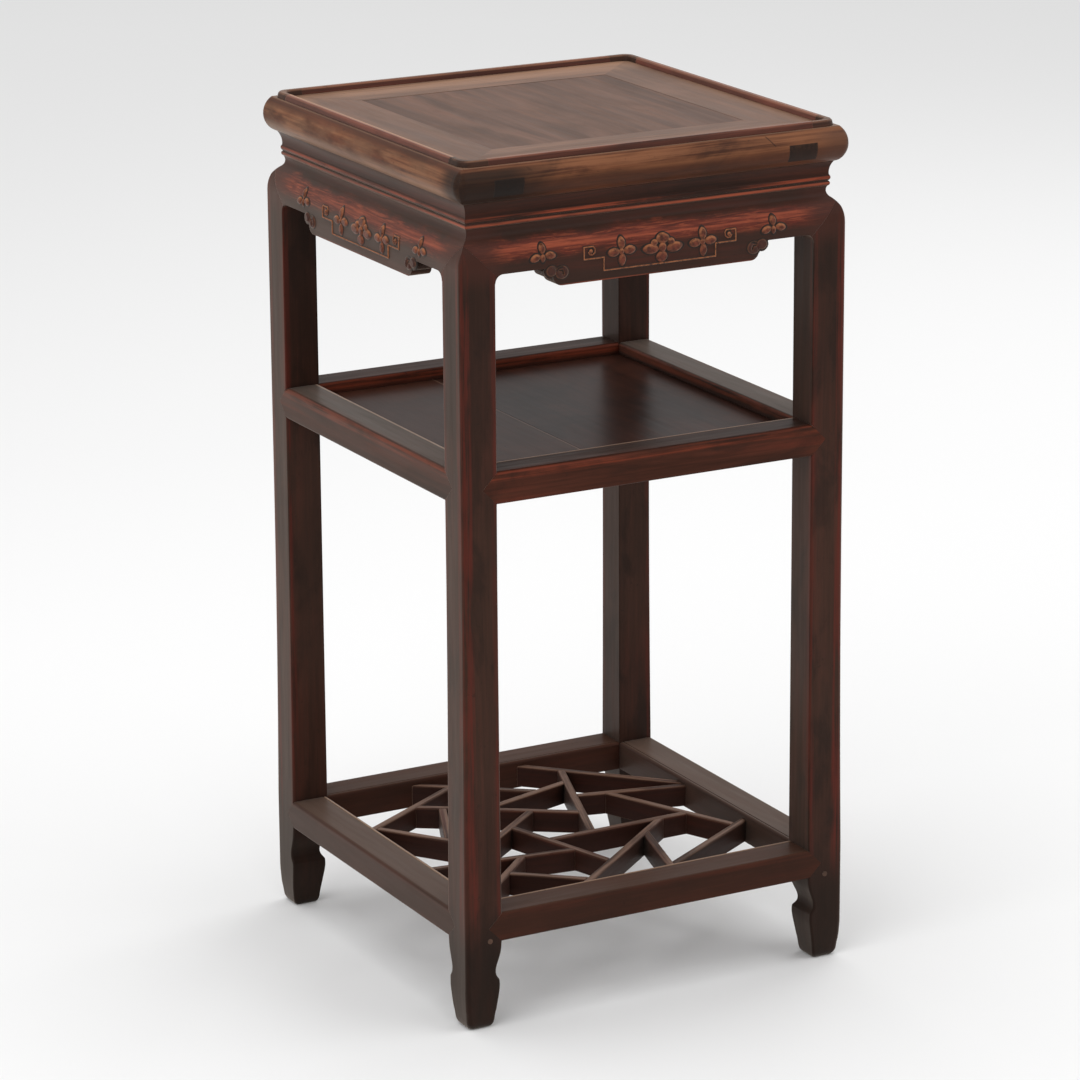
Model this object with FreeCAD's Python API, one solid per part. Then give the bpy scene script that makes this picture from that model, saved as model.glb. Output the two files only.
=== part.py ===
import FreeCAD, Part
import math
import os

from FreeCAD import Vector

# Three-tier stand, in millimetres. +Z is up, the origin is on the floor under the centre,
# the front face looks along -Y. Every side is drawn at the front and turned about Z.
# "q" is a distance from the stand's centre plane out to a face, the same on all four sides.

# Driving dimensions
HEIGHT = 810.0
TOP_WIDTH = 404.0
LEG_SPAN = 398.0
LEG = 35.0

# Heights
LIP_FOOT = 804.5
TOP_UNDERSIDE = 771.5
WAIST_FOOT = 753.0
APRON_FOOT = 707.6
PENDANT_FOOT = 690.7
MIDDLE_RAIL = (498.0, 527.7)
LOWER_RAIL = (83.5, 111.2)
MIDDLE_SHELF_TOP = 517.0

# Distances from the centre plane
LEG_OUT = LEG_SPAN / 2
LEG_IN = LEG_OUT - LEG
TOP_OUT = TOP_WIDTH / 2
FRAME_IN = 130.0
APRON_IN = 179.0
TOP_CORNER_ROUND = 9.0
CORNER_AXIS = TOP_OUT - TOP_CORNER_ROUND
ARRIS_OUTER = 4.0
LEG_ARRIS_AXIS = LEG_OUT - ARRIS_OUTER
FOOT_FLARE = 2.0
FOOT_OUT = LEG_OUT + FOOT_FLARE

# Points (q, z) of the mouldings, from the shoulder of apron and leg up to the top's rounded edge.
# A third entry marks the middle of an arc.
SHOULDER_FOOT = (LEG_OUT, 715.5)
SHOULDER_TOP = (187.2, 738.7)
NECK_HOLLOW = (184.9, 743.5, "arc")
NECK_TOP = (186.0, 748.2)
APRON_BEAD = (187.6, 750.6, "arc")
BEAD_SEAM = (186.2, WAIST_FOOT)
WAIST_BEAD = (187.9, 755.8, "arc")
WAIST_BEAD_TOP = (186.8, 758.7)
WAIST_HOLLOW = (187.2, 765.2, "arc")
EDGE_FOOT = (190.0, TOP_UNDERSIDE)
EDGE_SWELL = (TOP_OUT, 788.3)
EDGE_TOP = (193.5, LIP_FOOT)

# Top frame joints
THROUGH_TENON_X = (136.0, 165.0)
THROUGH_TENON_Z = (777.5, 792.5)
PANEL_GAP = 0.1
PANEL_DROP = 0.2
PANEL_THICK = 13.0
TONGUE = 6.0
TONGUE_BELOW_TOP = 4.0
TONGUE_REACH = 8.0

# Dovetail battens under the top panel and the middle shelf
BATTEN_WIDTH = 16.0
BATTEN_FLARE = 1.0
BATTEN_KEY = 3.5
BATTEN_TENON = 8.0
BATTEN_TENON_INSET = 3.0
TOP_BATTEN_DEPTH = 15.0
SHELF_BATTEN_DEPTH = 7.0

# Lip round the top
LIP_IN = 184.0
LIP_OUT = 192.5
LIP_CORNER_START = 166.0
LIP_OUTER_ROUND = 12.0
LIP_INNER_ROUND = 8.0
LIP_OUTER_AXIS = LIP_OUT - LIP_OUTER_ROUND
LIP_INNER_AXIS = LIP_IN - LIP_INNER_ROUND
LIP_KEY = (186.5, 189.5)
LIP_KEY_DEPTH = 3.0
LIP_LEAN = 1.0
LIP_EASE = 1.4

# Waist joints
WAIST_KEY = (181.0, 185.0)
WAIST_TOP_KEY = 4.0
WAIST_FOOT_KEY = 3.0

# Apron
APRON_FILLET = 8.0
APRON_TONGUE_Q = (183.0, 189.0)
APRON_TONGUE_Z = (712.0, 740.0)
APRON_TONGUE_REACH = 12.0
INNER_LOBE_AXIS = (97.3, 699.1)
OUTER_LOBE_MIDDLE = (113.7, 700.4)
OUTER_LOBE_END = (113.8, APRON_FOOT)

# Leg neck and head tenon
NECK_TENON_IN = 167.0
NECK_TENON_OUT = 176.5
NECK_TENON_TOP = 786.0

# Hoof foot, entries: height, how far the two inner faces stand in, how far the two outer faces do
ANKLE = [
    (LOWER_RAIL[0], 0.0, 0.0), (75.0, 0.9, 0.0), (68.5, 2.6, 0.0), (62.0, 5.0, 0.0),
    (56.5, 6.3, 0.0), (52.5, 6.1, 0.0), (49.5, 4.8, 0.0), (47.3, 3.2, 0.0), (45.5, 2.5, 0.0),
]
HOOF = [
    (45.5, 2.5, 0.0), (42.0, 2.3, 0.0), (36.0, 2.7, 0.0), (27.0, 4.1, 0.4),
    (17.0, 5.7, 1.2), (8.0, 7.0, 2.4), (3.5, 7.9, 3.6), (1.2, 9.1, 5.2), (0.0, 11.0, 7.5),
]

# The legs flare out towards the foot, entries: height, how far the two outer faces stand out
FLARE = [(420.0, 0.0), (340.0, 0.2), (260.0, 0.6), (180.0, 1.25), (LOWER_RAIL[1], FOOT_FLARE)]
ARRIS_SIDE = 2.0
ARRIS_SIDE_TOP = 0.8
ARRIS_INNER = 0.8
SHAFT_TOP = APRON_FOOT - APRON_FILLET

# Rails
RAIL_SHOULDER_IN = LEG_OUT - 8.0
RAIL_TENON_Q = (175.0, 186.0)
RAIL_TENON_REACH = 22.0
RAIL_TENON_MARGIN = 3.0
RAIL_TENON_SPACE = 1.0
MIDDLE_RAIL_ROUND = 4.5
LOWER_RAIL_ROUND = 3.0
RAIL_FOOT_ROUND = 2.5
RAIL_INNER_ROUND = 3.0
SHELF_TONGUE_Z = (508.0, 513.5)
SHELF_THICK = 11.0
SHELF_SEAM_X = -42.0
SHELF_GAP = 0.3
EDGE_LINE = LEG_IN + 4.5
EDGE_LINE_HALF = 0.6
EDGE_LINE_DEPTH = 0.8
PEG_RADIUS = 2.5
PEG_LENGTH = 18.0
FRONT_PEG_X = (-176.5, 182.0)
BACK_PEG_X = (-181.0, 181.0)
PEG_Z = 85.5

# Cracked-ice lattice of the lower shelf
BAR_WIDTH = 7.6
BAR_TOP = 106.0
BAR_DEPTH = 21.0
BAR_CHAMFER = 0.9
BAR_TENON_WIDTH = 2.6
BAR_TENON_Z = (92.0, 100.0)
BAR_RAIL_TENON = 5.0

# Each bar: two points on its centre line, then what its two ends run into.
BARS = [
    ((-155, 74), (-55, 134), "left", 2),
    ((-55, 156), (20, 98), "back", 3),
    ((60, 99), (-20, 75), 4, 5),
    ((75, 120), (23, -30), 6, 8),
    ((-100, 110), (35, 18), 1, 4),
    ((58, 157), (125, 86), "back", "right"),
    ((58, 60), (150, 38), 4, "right"),
    ((-10, -37), (110, -36), 11, 9),
    ((88, 50), (147, -82), 7, 10),
    ((155, -86), (55, -146), "right", 12),
    ((-42, 12), (-5, -110), 14, 13),
    ((63, -70), (43, -145), 13, "front"),
    ((92, -40), (-35, -143), 8, "front"),
    ((-10, 38), (-55, 2), 5, 17),
    ((-78, 84), (-97, 40), 5, 16),
    ((-152, 66), (-112, 9), 1, 14),
    ((-97, -62), (-20, -72), "left", 11),
    ((-86, -80), (-145, -137), 17, "left"),
    ((-100, -102), (-60, -136), 18, 13),
]
# A bar's blank runs on this far past its ends before it is trimmed
BAR_ROOM = 12.0

SIDES = ("front", "right", "back", "left")
CORNERS = ("front_right", "back_right", "back_left", "front_left")
FAR = 400.0
LAP = 1.0
# How far the middle of a quarter round stands in from the square corner, per unit of radius
QUARTER_BULGE = 1 - math.sqrt(0.5)
Z_AXIS = Vector(0, 0, 1)
ORIGIN = Vector(0, 0, 0)


def turned(shape, quarter):
    """The front's shape, moved to the side or corner that many quarter turns on."""
    copy = shape.copy()
    copy.rotate(ORIGIN, Z_AXIS, 90.0 * quarter)
    return copy


def box(x, y, z):
    """A box from three (low, high) pairs."""
    return Part.makeBox(x[1] - x[0], y[1] - y[0], z[1] - z[0], Vector(x[0], y[0], z[0]))


def front_box(x, q, z):
    """A box at the front, with q measured outwards from the centre plane."""
    return box(x, (-q[1], -q[0]), z)


def section(points):
    """A closed face in the plane x = 0 of the front side, from (q, z) points and arcs.

    A point with a third entry is the middle of an arc between its neighbours.
    """
    edges = []
    spots = [Vector(0, -p[0], p[1]) for p in points]
    spots.append(spots[0])
    at = 0
    while at < len(points):
        through = at + 1 < len(points) and len(points[at + 1]) == 3
        if through:
            edges.append(Part.Arc(spots[at], spots[at + 1], spots[at + 2]).toShape())
            at += 2
        else:
            edges.append(Part.LineSegment(spots[at], spots[at + 1]).toShape())
            at += 1
    return Part.Face(Part.Wire(edges))


def along_front(face, half):
    """A section drawn at x = 0, run along the front from -half to half."""
    start = face.copy()
    start.translate(Vector(-half, 0, 0))
    return start.extrude(Vector(2 * half, 0, 0))


def front_wedge():
    """The front quarter of the plan, between the two mitre planes."""
    corners = [Vector(0, 0, 0), Vector(-FAR, -FAR, 0), Vector(FAR, -FAR, 0), Vector(0, 0, 0)]
    wedge = Part.Face(Part.makePolygon(corners)).extrude(Vector(0, 0, 2 * FAR + HEIGHT))
    wedge.translate(Vector(0, 0, -FAR))
    return wedge


def mitred(face):
    """A section run along the front and mitred at both corners."""
    return along_front(face, FAR).common(front_wedge())


def outer_part(face, axis):
    """The part of a front section that stands further out than the axis distance."""
    window = Part.makePlane(FAR, 3 * FAR, Vector(0, -axis, 0), Vector(-1, 0, 0), Vector(0, -1, 0))
    return face.common(window).Faces[0]


def corner_turn(face, axis, angle):
    """The outer part of a front section, turned about the upright line at the front right corner."""
    outer = outer_part(face, axis)
    outer.translate(Vector(axis, 0, 0))
    return outer.revolve(Vector(axis, -axis, 0), Z_AXIS, angle)


def mirrored(shape):
    """The shape reflected across the plane x = 0."""
    return shape.mirror(ORIGIN, Vector(1, 0, 0))


def merged(first, *others):
    """One solid from pieces that touch."""
    whole = first.fuse(list(others)).removeSplitter()
    return whole.Solids[0] if len(whole.Solids) == 1 else whole


def largest(shape):
    """The biggest solid of a shape."""
    return max(shape.Solids, key=lambda solid: solid.Volume)


def swell(outermost, end):
    """Middle of the arc that is upright at its outermost point and runs to the other point."""
    setback = outermost[0] - end[0]
    rise = end[1] - outermost[1]
    radius = (setback ** 2 + rise ** 2) / (2 * setback)
    half_angle = math.atan2(rise, radius - setback) / 2
    q = outermost[0] - radius * (1 - math.cos(half_angle))
    return q, outermost[1] + radius * math.sin(half_angle), "arc"


def apron_profile():
    """Apron section: rounded shoulder, hollow neck and a bead under the waist."""
    return section([
        (APRON_IN, PENDANT_FOOT - LAP), (LEG_OUT, PENDANT_FOOT - LAP), SHOULDER_FOOT,
        swell(SHOULDER_FOOT, SHOULDER_TOP), SHOULDER_TOP, NECK_HOLLOW, NECK_TOP,
        APRON_BEAD, BEAD_SEAM, (APRON_IN, WAIST_FOOT),
    ])


def waist_profile():
    """Waist section: a bead at the foot and a hollow rising to the top frame."""
    return section([
        (APRON_IN, WAIST_FOOT), BEAD_SEAM, WAIST_BEAD, WAIST_BEAD_TOP, WAIST_HOLLOW, EDGE_FOOT,
        (APRON_IN, TOP_UNDERSIDE),
    ])


def frame_profile():
    """Top frame section with its rounded outer edge."""
    return section([
        (FRAME_IN, TOP_UNDERSIDE), EDGE_FOOT, swell(EDGE_SWELL, EDGE_FOOT), EDGE_SWELL,
        swell(EDGE_SWELL, EDGE_TOP), EDGE_TOP, (FRAME_IN, LIP_FOOT),
    ])


def lip_sections():
    """Heights of the lip with its inner and outer distance: foot, where the crest eases, crest."""
    inner = LIP_IN + LIP_LEAN
    outer = LIP_OUT - LIP_LEAN
    return [
        (LIP_FOOT, LIP_IN, LIP_OUT),
        (HEIGHT - LIP_EASE, inner, outer),
        (HEIGHT, inner + LIP_EASE, outer - LIP_EASE),
    ]


def lip_strip():
    """The straight front lip strip, with a key that sits in the frame."""
    sections = lip_sections()
    inner_side = [(inner, z) for z, inner, outer in reversed(sections)]
    outer_side = [(outer, z) for z, inner, outer in sections]
    strip = along_front(section(outer_side + inner_side), LIP_CORNER_START)
    key_z = (LIP_FOOT - LIP_KEY_DEPTH, LIP_FOOT)
    return merged(strip, front_box((-LIP_CORNER_START, LIP_CORNER_START), LIP_KEY, key_z))


def lip_corner_plan(z, inner, outer):
    """The plan of the front right lip corner at one height: a bent strip with round corners."""
    begin = LIP_CORNER_START
    bend = math.sqrt(0.5)
    outer_r = outer - LIP_OUTER_AXIS
    inner_r = inner - LIP_INNER_AXIS
    outer_middle = LIP_OUTER_AXIS + outer_r * bend
    inner_middle = LIP_INNER_AXIS + inner_r * bend

    def spot(x, q):
        return Vector(x, -q, z)

    edges = [
        Part.LineSegment(spot(begin, outer), spot(LIP_OUTER_AXIS, outer)),
        Part.Arc(
            spot(LIP_OUTER_AXIS, outer), spot(outer_middle, outer_middle), spot(outer, LIP_OUTER_AXIS)),
        Part.LineSegment(spot(outer, LIP_OUTER_AXIS), spot(outer, begin)),
        Part.LineSegment(spot(outer, begin), spot(inner, begin)),
        Part.LineSegment(spot(inner, begin), spot(inner, LIP_INNER_AXIS)),
        Part.Arc(
            spot(inner, LIP_INNER_AXIS), spot(inner_middle, inner_middle), spot(LIP_INNER_AXIS, inner)),
        Part.LineSegment(spot(LIP_INNER_AXIS, inner), spot(begin, inner)),
        Part.LineSegment(spot(begin, inner), spot(begin, outer)),
    ]
    return Part.Wire([edge.toShape() for edge in edges])


def lip_corner():
    """The front right lip corner, with a key that sits in the frame."""
    plans = [lip_corner_plan(*entry) for entry in lip_sections()]
    wall = Part.makeLoft(plans[:2], True, True)
    crest = Part.makeLoft(plans[1:], True, True)
    key_plan = lip_corner_plan(LIP_FOOT - LIP_KEY_DEPTH, *LIP_KEY)
    key = Part.Face(key_plan).extrude(Vector(0, 0, LIP_KEY_DEPTH))
    return merged(wall, crest, key)


def through_tenons():
    """Tenons of the right side member, which pass through the front and back members."""
    reach = (-FAR, -FRAME_IN)
    tenon = box(THROUGH_TENON_X, reach, THROUGH_TENON_Z)
    inside = along_front(frame_profile(), FAR)
    tenon = tenon.common(inside)
    return [tenon, tenon.mirror(ORIGIN, Vector(0, 1, 0))]


def frame_member():
    """The front member, mitred, with softened corners and a groove for the panel."""
    face = frame_profile()
    straight = along_front(face, CORNER_AXIS).common(front_wedge())
    bend = corner_turn(face, CORNER_AXIS, 45)
    member = merged(straight, bend, mirrored(bend))
    groove = front_box((-FAR, FAR), (FRAME_IN - LAP, FRAME_IN + TONGUE_REACH), tongue_z())
    return member.cut(groove.common(front_wedge()))


def tongue_z():
    """Height of the top panel's tongue."""
    top = LIP_FOOT - PANEL_DROP - TONGUE_BELOW_TOP
    return top - TONGUE, top


def dovetail(z, length):
    """A batten's key along X, wider at the top, rising from z."""
    foot = BATTEN_WIDTH / 2 - BATTEN_FLARE
    head = BATTEN_WIDTH / 2 + BATTEN_FLARE
    points = [(-foot, z), (foot, z), (head, z + BATTEN_KEY), (-head, z + BATTEN_KEY)]
    spots = [Vector(-length, y, height) for y, height in points]
    spots.append(spots[0])
    return Part.Face(Part.makePolygon(spots)).extrude(Vector(2 * length, 0, 0))


def batten(underside, reach, depth):
    """A batten along X under a panel, keyed into it and tenoned into the members at its ends."""
    half = BATTEN_WIDTH / 2
    body = box((-reach, reach), (-half, half), (underside - depth, underside))
    tenon_half = half - BATTEN_TENON_INSET
    tenon_reach = reach + BATTEN_TENON
    tenon_z = (underside - depth + LAP, underside - LAP)
    tenon = box((-tenon_reach, tenon_reach), (-tenon_half, tenon_half), tenon_z)
    key = dovetail(underside, reach - LAP)
    return merged(body, tenon, key)


def top_panel():
    """The floating top panel, with a tongue all round."""
    top = LIP_FOOT - PANEL_DROP
    half = FRAME_IN - PANEL_GAP
    field = box((-half, half), (-half, half), (top - PANEL_THICK, top))
    wide = FRAME_IN + TONGUE_REACH - PANEL_GAP
    tongue = box((-wide, wide), (-wide, wide), tongue_z())
    return merged(field, tongue)


def apron_outline():
    """The apron's front outline: pendant with two lobes at each end, mitred shoulders."""
    lobe_x, lobe_z = INNER_LOBE_AXIS
    lobe_r = lobe_z - PENDANT_FOOT
    slant = lobe_r * math.sqrt(0.5)
    bend = APRON_FILLET * math.sqrt(0.5)
    fillet_x = LEG_IN - APRON_FILLET
    fillet_z = APRON_FOOT - APRON_FILLET
    rise = WAIST_FOOT - APRON_FOOT

    def spot(x, z):
        return Vector(x, 0, z)

    notch = spot(lobe_x + lobe_r, lobe_z)
    lobe_end = spot(*OUTER_LOBE_END)
    bend_start = spot(fillet_x, APRON_FOOT)
    bend_end = spot(fillet_x + bend, fillet_z + bend)
    bend_middle = spot(
        fillet_x + APRON_FILLET * math.sin(math.pi / 8), fillet_z + APRON_FILLET * math.cos(math.pi / 8))
    shoulder = spot(LEG_IN + rise, WAIST_FOOT)
    right = [
        Part.LineSegment(spot(0, PENDANT_FOOT), spot(lobe_x, PENDANT_FOOT)).toShape(),
        Part.Arc(spot(lobe_x, PENDANT_FOOT), spot(lobe_x + slant, lobe_z - slant), notch).toShape(),
        Part.Arc(notch, spot(*OUTER_LOBE_MIDDLE), lobe_end).toShape(),
        Part.LineSegment(lobe_end, bend_start).toShape(),
        Part.Arc(bend_start, bend_middle, bend_end).toShape(),
        Part.LineSegment(bend_end, shoulder).toShape(),
        Part.LineSegment(shoulder, spot(0, WAIST_FOOT)).toShape(),
    ]
    left = [mirrored(edge) for edge in right]
    wire = Part.Wire(Part.__sortEdges__(right + left))
    return Part.Face(wire)


def apron():
    """The front apron, with tongues that enter the legs behind the mitred shoulders."""
    blank = apron_outline().extrude(Vector(0, -FAR, 0))
    body = mitred(apron_profile()).common(blank)
    tongue_x = LEG_IN + APRON_TONGUE_REACH
    tongue = front_box((-tongue_x, tongue_x), APRON_TONGUE_Q, APRON_TONGUE_Z)
    body = merged(body, tongue.common(mitred(apron_profile())))
    foot = section([
        (WAIST_KEY[0], WAIST_FOOT - WAIST_FOOT_KEY), (WAIST_KEY[1], WAIST_FOOT - WAIST_FOOT_KEY),
        (WAIST_KEY[1], WAIST_FOOT), (WAIST_KEY[0], WAIST_FOOT),
    ])
    return largest(body.cut(along_front(foot, FAR)))


def waist():
    """The front waist board, keyed into the top frame above and the apron below."""
    key = section([
        (WAIST_KEY[0], WAIST_FOOT - WAIST_FOOT_KEY), (WAIST_KEY[1], WAIST_FOOT - WAIST_FOOT_KEY),
        (WAIST_KEY[1], TOP_UNDERSIDE + WAIST_TOP_KEY), (WAIST_KEY[0], TOP_UNDERSIDE + WAIST_TOP_KEY),
    ])
    return merged(mitred(waist_profile()), mitred(key))


def leg_ring(z, inner, outer, side_radius):
    """The leg's outline at one height, as a wire with rounded arrises, at the front right."""
    low = LEG_IN + inner
    high = LEG_OUT - outer
    # Corners in order round the leg: innermost, outer right, outermost, outer front
    corners = [(low, low), (high, low), (high, high), (low, high)]
    radii = [ARRIS_INNER, side_radius, ARRIS_OUTER, side_radius]
    edges = []
    previous = None
    first = None
    for (u, v), radius in zip(corners, radii):
        inward_u = 1 if u == low else -1
        inward_v = 1 if v == low else -1
        axis = Vector(u + inward_u * radius, v + inward_v * radius, 0)
        on_u = Vector(u, axis.y, z)
        on_v = Vector(axis.x, v, z)
        bulge = radius * math.sqrt(0.5)
        middle = Vector(axis.x - inward_u * bulge, axis.y - inward_v * bulge, z)
        enter, leave = (on_u, on_v) if inward_u == inward_v else (on_v, on_u)
        if previous is not None:
            edges.append(Part.LineSegment(previous, enter).toShape())
        else:
            first = enter
        edges.append(Part.Arc(enter, middle, leave).toShape())
        previous = leave
    edges.append(Part.LineSegment(previous, first).toShape())
    wire = Part.Wire(edges)
    return wire.mirror(ORIGIN, Vector(0, 1, 0))


def foot_ring(z, inner, outer):
    """The outline of the flared foot at one height."""
    return leg_ring(z, inner, outer - FOOT_FLARE, ARRIS_SIDE)


def neck_tenon():
    """The tenon on a leg's head that enters the top frame, at the front right."""
    across = (NECK_TENON_IN, NECK_TENON_OUT)
    return front_box(across, across, (TOP_UNDERSIDE - LAP, NECK_TENON_TOP))


def leg_block():
    """The head of a leg before its joints are cut: shoulder curves on both outer faces."""
    face = section([
        (LEG_IN, SHAFT_TOP), (LEG_OUT, SHAFT_TOP), SHOULDER_FOOT, swell(SHOULDER_FOOT, SHOULDER_TOP),
        SHOULDER_TOP, (LEG_IN, SHOULDER_TOP[1]),
    ])
    right_end = box((LEG_IN, FAR), (-FAR, 0), (0, HEIGHT))
    across = along_front(face, LEG_ARRIS_AXIS).common(front_wedge()).common(right_end)
    along = turned(mirrored(across), 1)
    round_corner = corner_turn(face, LEG_ARRIS_AXIS, 90)
    neck = box((LEG_IN, APRON_IN), (-APRON_IN, -LEG_IN), (SHAFT_TOP, TOP_UNDERSIDE))
    return merged(across, along, round_corner, neck, neck_tenon())


def apron_fillet_on_leg():
    """The leg's half of the small curve where an apron meets it, at the front right."""
    x = LEG_IN - APRON_FILLET
    z = APRON_FOOT - APRON_FILLET
    bend = APRON_FILLET * math.sqrt(0.5)
    eighth = math.pi / 8
    top = Vector(LEG_IN, 0, APRON_FOOT)
    middle = Vector(x + bend, 0, z + bend)
    arc_middle = Vector(x + APRON_FILLET * math.cos(eighth), 0, z + APRON_FILLET * math.sin(eighth))
    foot = Vector(LEG_IN, 0, z)
    edges = [
        Part.LineSegment(top, middle).toShape(),
        Part.Arc(middle, arc_middle, foot).toShape(),
        Part.LineSegment(foot, top).toShape(),
    ]
    piece = Part.Face(Part.Wire(edges)).extrude(Vector(0, -(LEG_OUT - APRON_IN), 0))
    piece.translate(Vector(0, -APRON_IN, 0))
    return piece


def leg_stick():
    """The front right leg before its joints are cut."""
    upper = Part.makeLoft([
        leg_ring(FLARE[0][0], 0, 0, ARRIS_SIDE), leg_ring(SHAFT_TOP, 0, 0, ARRIS_SIDE_TOP),
    ], True, True)
    lower = Part.makeLoft([leg_ring(z, 0, -out, ARRIS_SIDE) for z, out in FLARE], True, False)
    joint = Part.makeLoft([leg_ring(z, 0, -FOOT_FLARE, ARRIS_SIDE) for z in LOWER_RAIL], True, True)
    ankle = Part.makeLoft([foot_ring(*entry) for entry in ANKLE], True, False)
    hoof = Part.makeLoft([foot_ring(*entry) for entry in HOOF], True, False)
    fillet = apron_fillet_on_leg()
    side_fillet = turned(mirrored(fillet), 1)
    return merged(upper, lower, joint, ankle, hoof, leg_block(), fillet, side_fillet)


def rail_profile(z, face_q, round_top):
    """Rail section: rounded upper outer edge, eased inner edge."""
    low, high = z
    foot = RAIL_FOOT_ROUND
    inner = RAIL_INNER_ROUND
    foot_bulge = foot * QUARTER_BULGE
    top_bulge = round_top * QUARTER_BULGE
    inner_bulge = inner * QUARTER_BULGE
    return section([
        (LEG_IN, low), (face_q - foot, low),
        (face_q - foot_bulge, low + foot_bulge, "arc"), (face_q, low + foot),
        (face_q, high - round_top), (face_q - top_bulge, high - top_bulge, "arc"),
        (face_q - round_top, high), (LEG_IN + inner, high),
        (LEG_IN + inner_bulge, high - inner_bulge, "arc"), (LEG_IN, high - inner),
    ])


def arrow_head(z):
    """The pointed shoulder zone at the right end of a rail, lapped on the leg's face."""
    low, high = z
    half = (high - low) / 2
    corners = [
        Vector(LEG_IN, 0, low), Vector(LEG_IN + half, 0, low + half), Vector(LEG_IN, 0, high),
        Vector(LEG_IN, 0, low),
    ]
    head = Part.Face(Part.makePolygon(corners)).extrude(Vector(0, -(FAR - RAIL_SHOULDER_IN), 0))
    head.translate(Vector(0, -RAIL_SHOULDER_IN, 0))
    return head


def rail_tenon(z):
    """The tenon at the right end of a rail."""
    return front_box((LEG_IN - LAP, LEG_IN + RAIL_TENON_REACH), RAIL_TENON_Q, z)


def rail_end(z, tenon_z):
    """Everything at the right end of a rail that has to leave the leg."""
    return merged(arrow_head(z), rail_tenon(tenon_z))


def rail(z, tenon_z, face_q, round_top):
    """The front rail, with pointed shoulders and tenons at both ends."""
    face = rail_profile(z, face_q, round_top)
    body = along_front(face, LEG_IN)
    head = arrow_head(z).common(along_front(face, FAR))
    tenon = rail_tenon(tenon_z)
    return merged(body, head, tenon, mirrored(head), mirrored(tenon))


def edge_line():
    """A fine scratched line along the inner edge of the front lower rail's top."""
    top = LOWER_RAIL[1]
    groove = section([
        (EDGE_LINE, top - EDGE_LINE_DEPTH), (EDGE_LINE + EDGE_LINE_HALF, top),
        (EDGE_LINE, top + EDGE_LINE_DEPTH), (EDGE_LINE - EDGE_LINE_HALF, top),
    ])
    return along_front(groove, LEG_IN)


def tenon_heights(z):
    """Heights of the front and back rails' tenons, then of the side rails' tenons above them."""
    low, high = z
    middle = (low + high) / 2
    space = RAIL_TENON_SPACE / 2
    return (low, middle - space), (middle + space, high - RAIL_TENON_MARGIN)


def shelf_groove():
    """The groove in the front middle rail for the shelf's tongue."""
    return front_box((-LEG_IN, LEG_IN), (LEG_IN - LAP, LEG_IN + TONGUE_REACH), SHELF_TONGUE_Z)


def shelf_boards():
    """The two boards of the middle shelf, narrow on the left and wide on the right."""
    half = LEG_IN - SHELF_GAP
    reach = LEG_IN + TONGUE_REACH - SHELF_GAP
    field = box((-half, half), (-half, half), (MIDDLE_SHELF_TOP - SHELF_THICK, MIDDLE_SHELF_TOP))
    across = box((-reach, reach), (-half, half), SHELF_TONGUE_Z)
    along = box((-half, half), (-reach, reach), SHELF_TONGUE_Z)
    whole = merged(field, across, along)
    seam = (SHELF_SEAM_X - SHELF_GAP / 2, SHELF_SEAM_X + SHELF_GAP / 2)
    narrow = whole.common(box((-FAR, seam[0]), (-FAR, FAR), (0, HEIGHT)))
    wide = whole.common(box((seam[1], FAR), (-FAR, FAR), (0, HEIGHT)))
    return narrow, wide


def peg(x, side):
    """A round peg driven in from the front (side -1) or the back (side 1)."""
    return Part.makeCylinder(
        PEG_RADIUS, PEG_LENGTH, Vector(x, side * FOOT_OUT, PEG_Z), Vector(0, -side, 0))


def line_through(stop):
    """A point and a direction of a bar's centre line, or of a rail's inner face."""
    if isinstance(stop, int):
        start, end = BARS[stop - 1][:2]
        a = Vector(start[0], start[1], 0)
        return a, Vector(end[0], end[1], 0) - a
    inset = LEG_IN + BAR_RAIL_TENON
    return {
        "left": (Vector(-inset, 0, 0), Vector(0, 1, 0)),
        "right": (Vector(inset, 0, 0), Vector(0, 1, 0)),
        "front": (Vector(0, -inset, 0), Vector(1, 0, 0)),
        "back": (Vector(0, inset, 0), Vector(1, 0, 0)),
    }[stop]


def crossing(number, stop):
    """Where a bar's centre line meets what it runs into."""
    a, d = line_through(number)
    b, e = line_through(stop)
    across = d.x * e.y - d.y * e.x
    t = ((b.x - a.x) * e.y - (b.y - a.y) * e.x) / across
    return a + d * t


def bar_ends(number):
    """The two ends of a bar's centre line."""
    stops = BARS[number - 1][2:]
    return [crossing(number, stop) for stop in stops]


def stick(start, end, points, extra):
    """A prism with the given (side, z) outline along a line, longer by extra at both ends."""
    direction = (end - start).normalize()
    side = Vector(-direction.y, direction.x, 0)
    origin = start - direction * extra
    spots = [origin + side * s + Z_AXIS * z for s, z in points]
    spots.append(spots[0])
    length = (end - start).Length + 2 * extra
    return Part.Face(Part.makePolygon(spots)).extrude(direction * length)


def rectangle(width, z):
    """A section for stick, centred on its line."""
    half = width / 2
    return [(-half, z[0]), (half, z[0]), (half, z[1]), (-half, z[1])]


def bar_section():
    """A lattice bar's section, with its two top edges eased."""
    half = BAR_WIDTH / 2
    low = BAR_TOP - BAR_DEPTH
    ease = BAR_CHAMFER
    return [
        (-half, low), (half, low), (half, BAR_TOP - ease), (half - ease, BAR_TOP),
        (-half + ease, BAR_TOP), (-half, BAR_TOP - ease),
    ]


def bar_block(number):
    """A bar's full-width space, used to trim the bars that run into it."""
    start, end = bar_ends(number)
    return stick(start, end, rectangle(BAR_WIDTH, (0, HEIGHT)), BAR_ROOM)


def bar_tenon(number):
    """The thin tongue that runs through a bar and out at both ends as its tenons."""
    start, end = bar_ends(number)
    return stick(start, end, rectangle(BAR_TENON_WIDTH, BAR_TENON_Z), 0)


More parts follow.
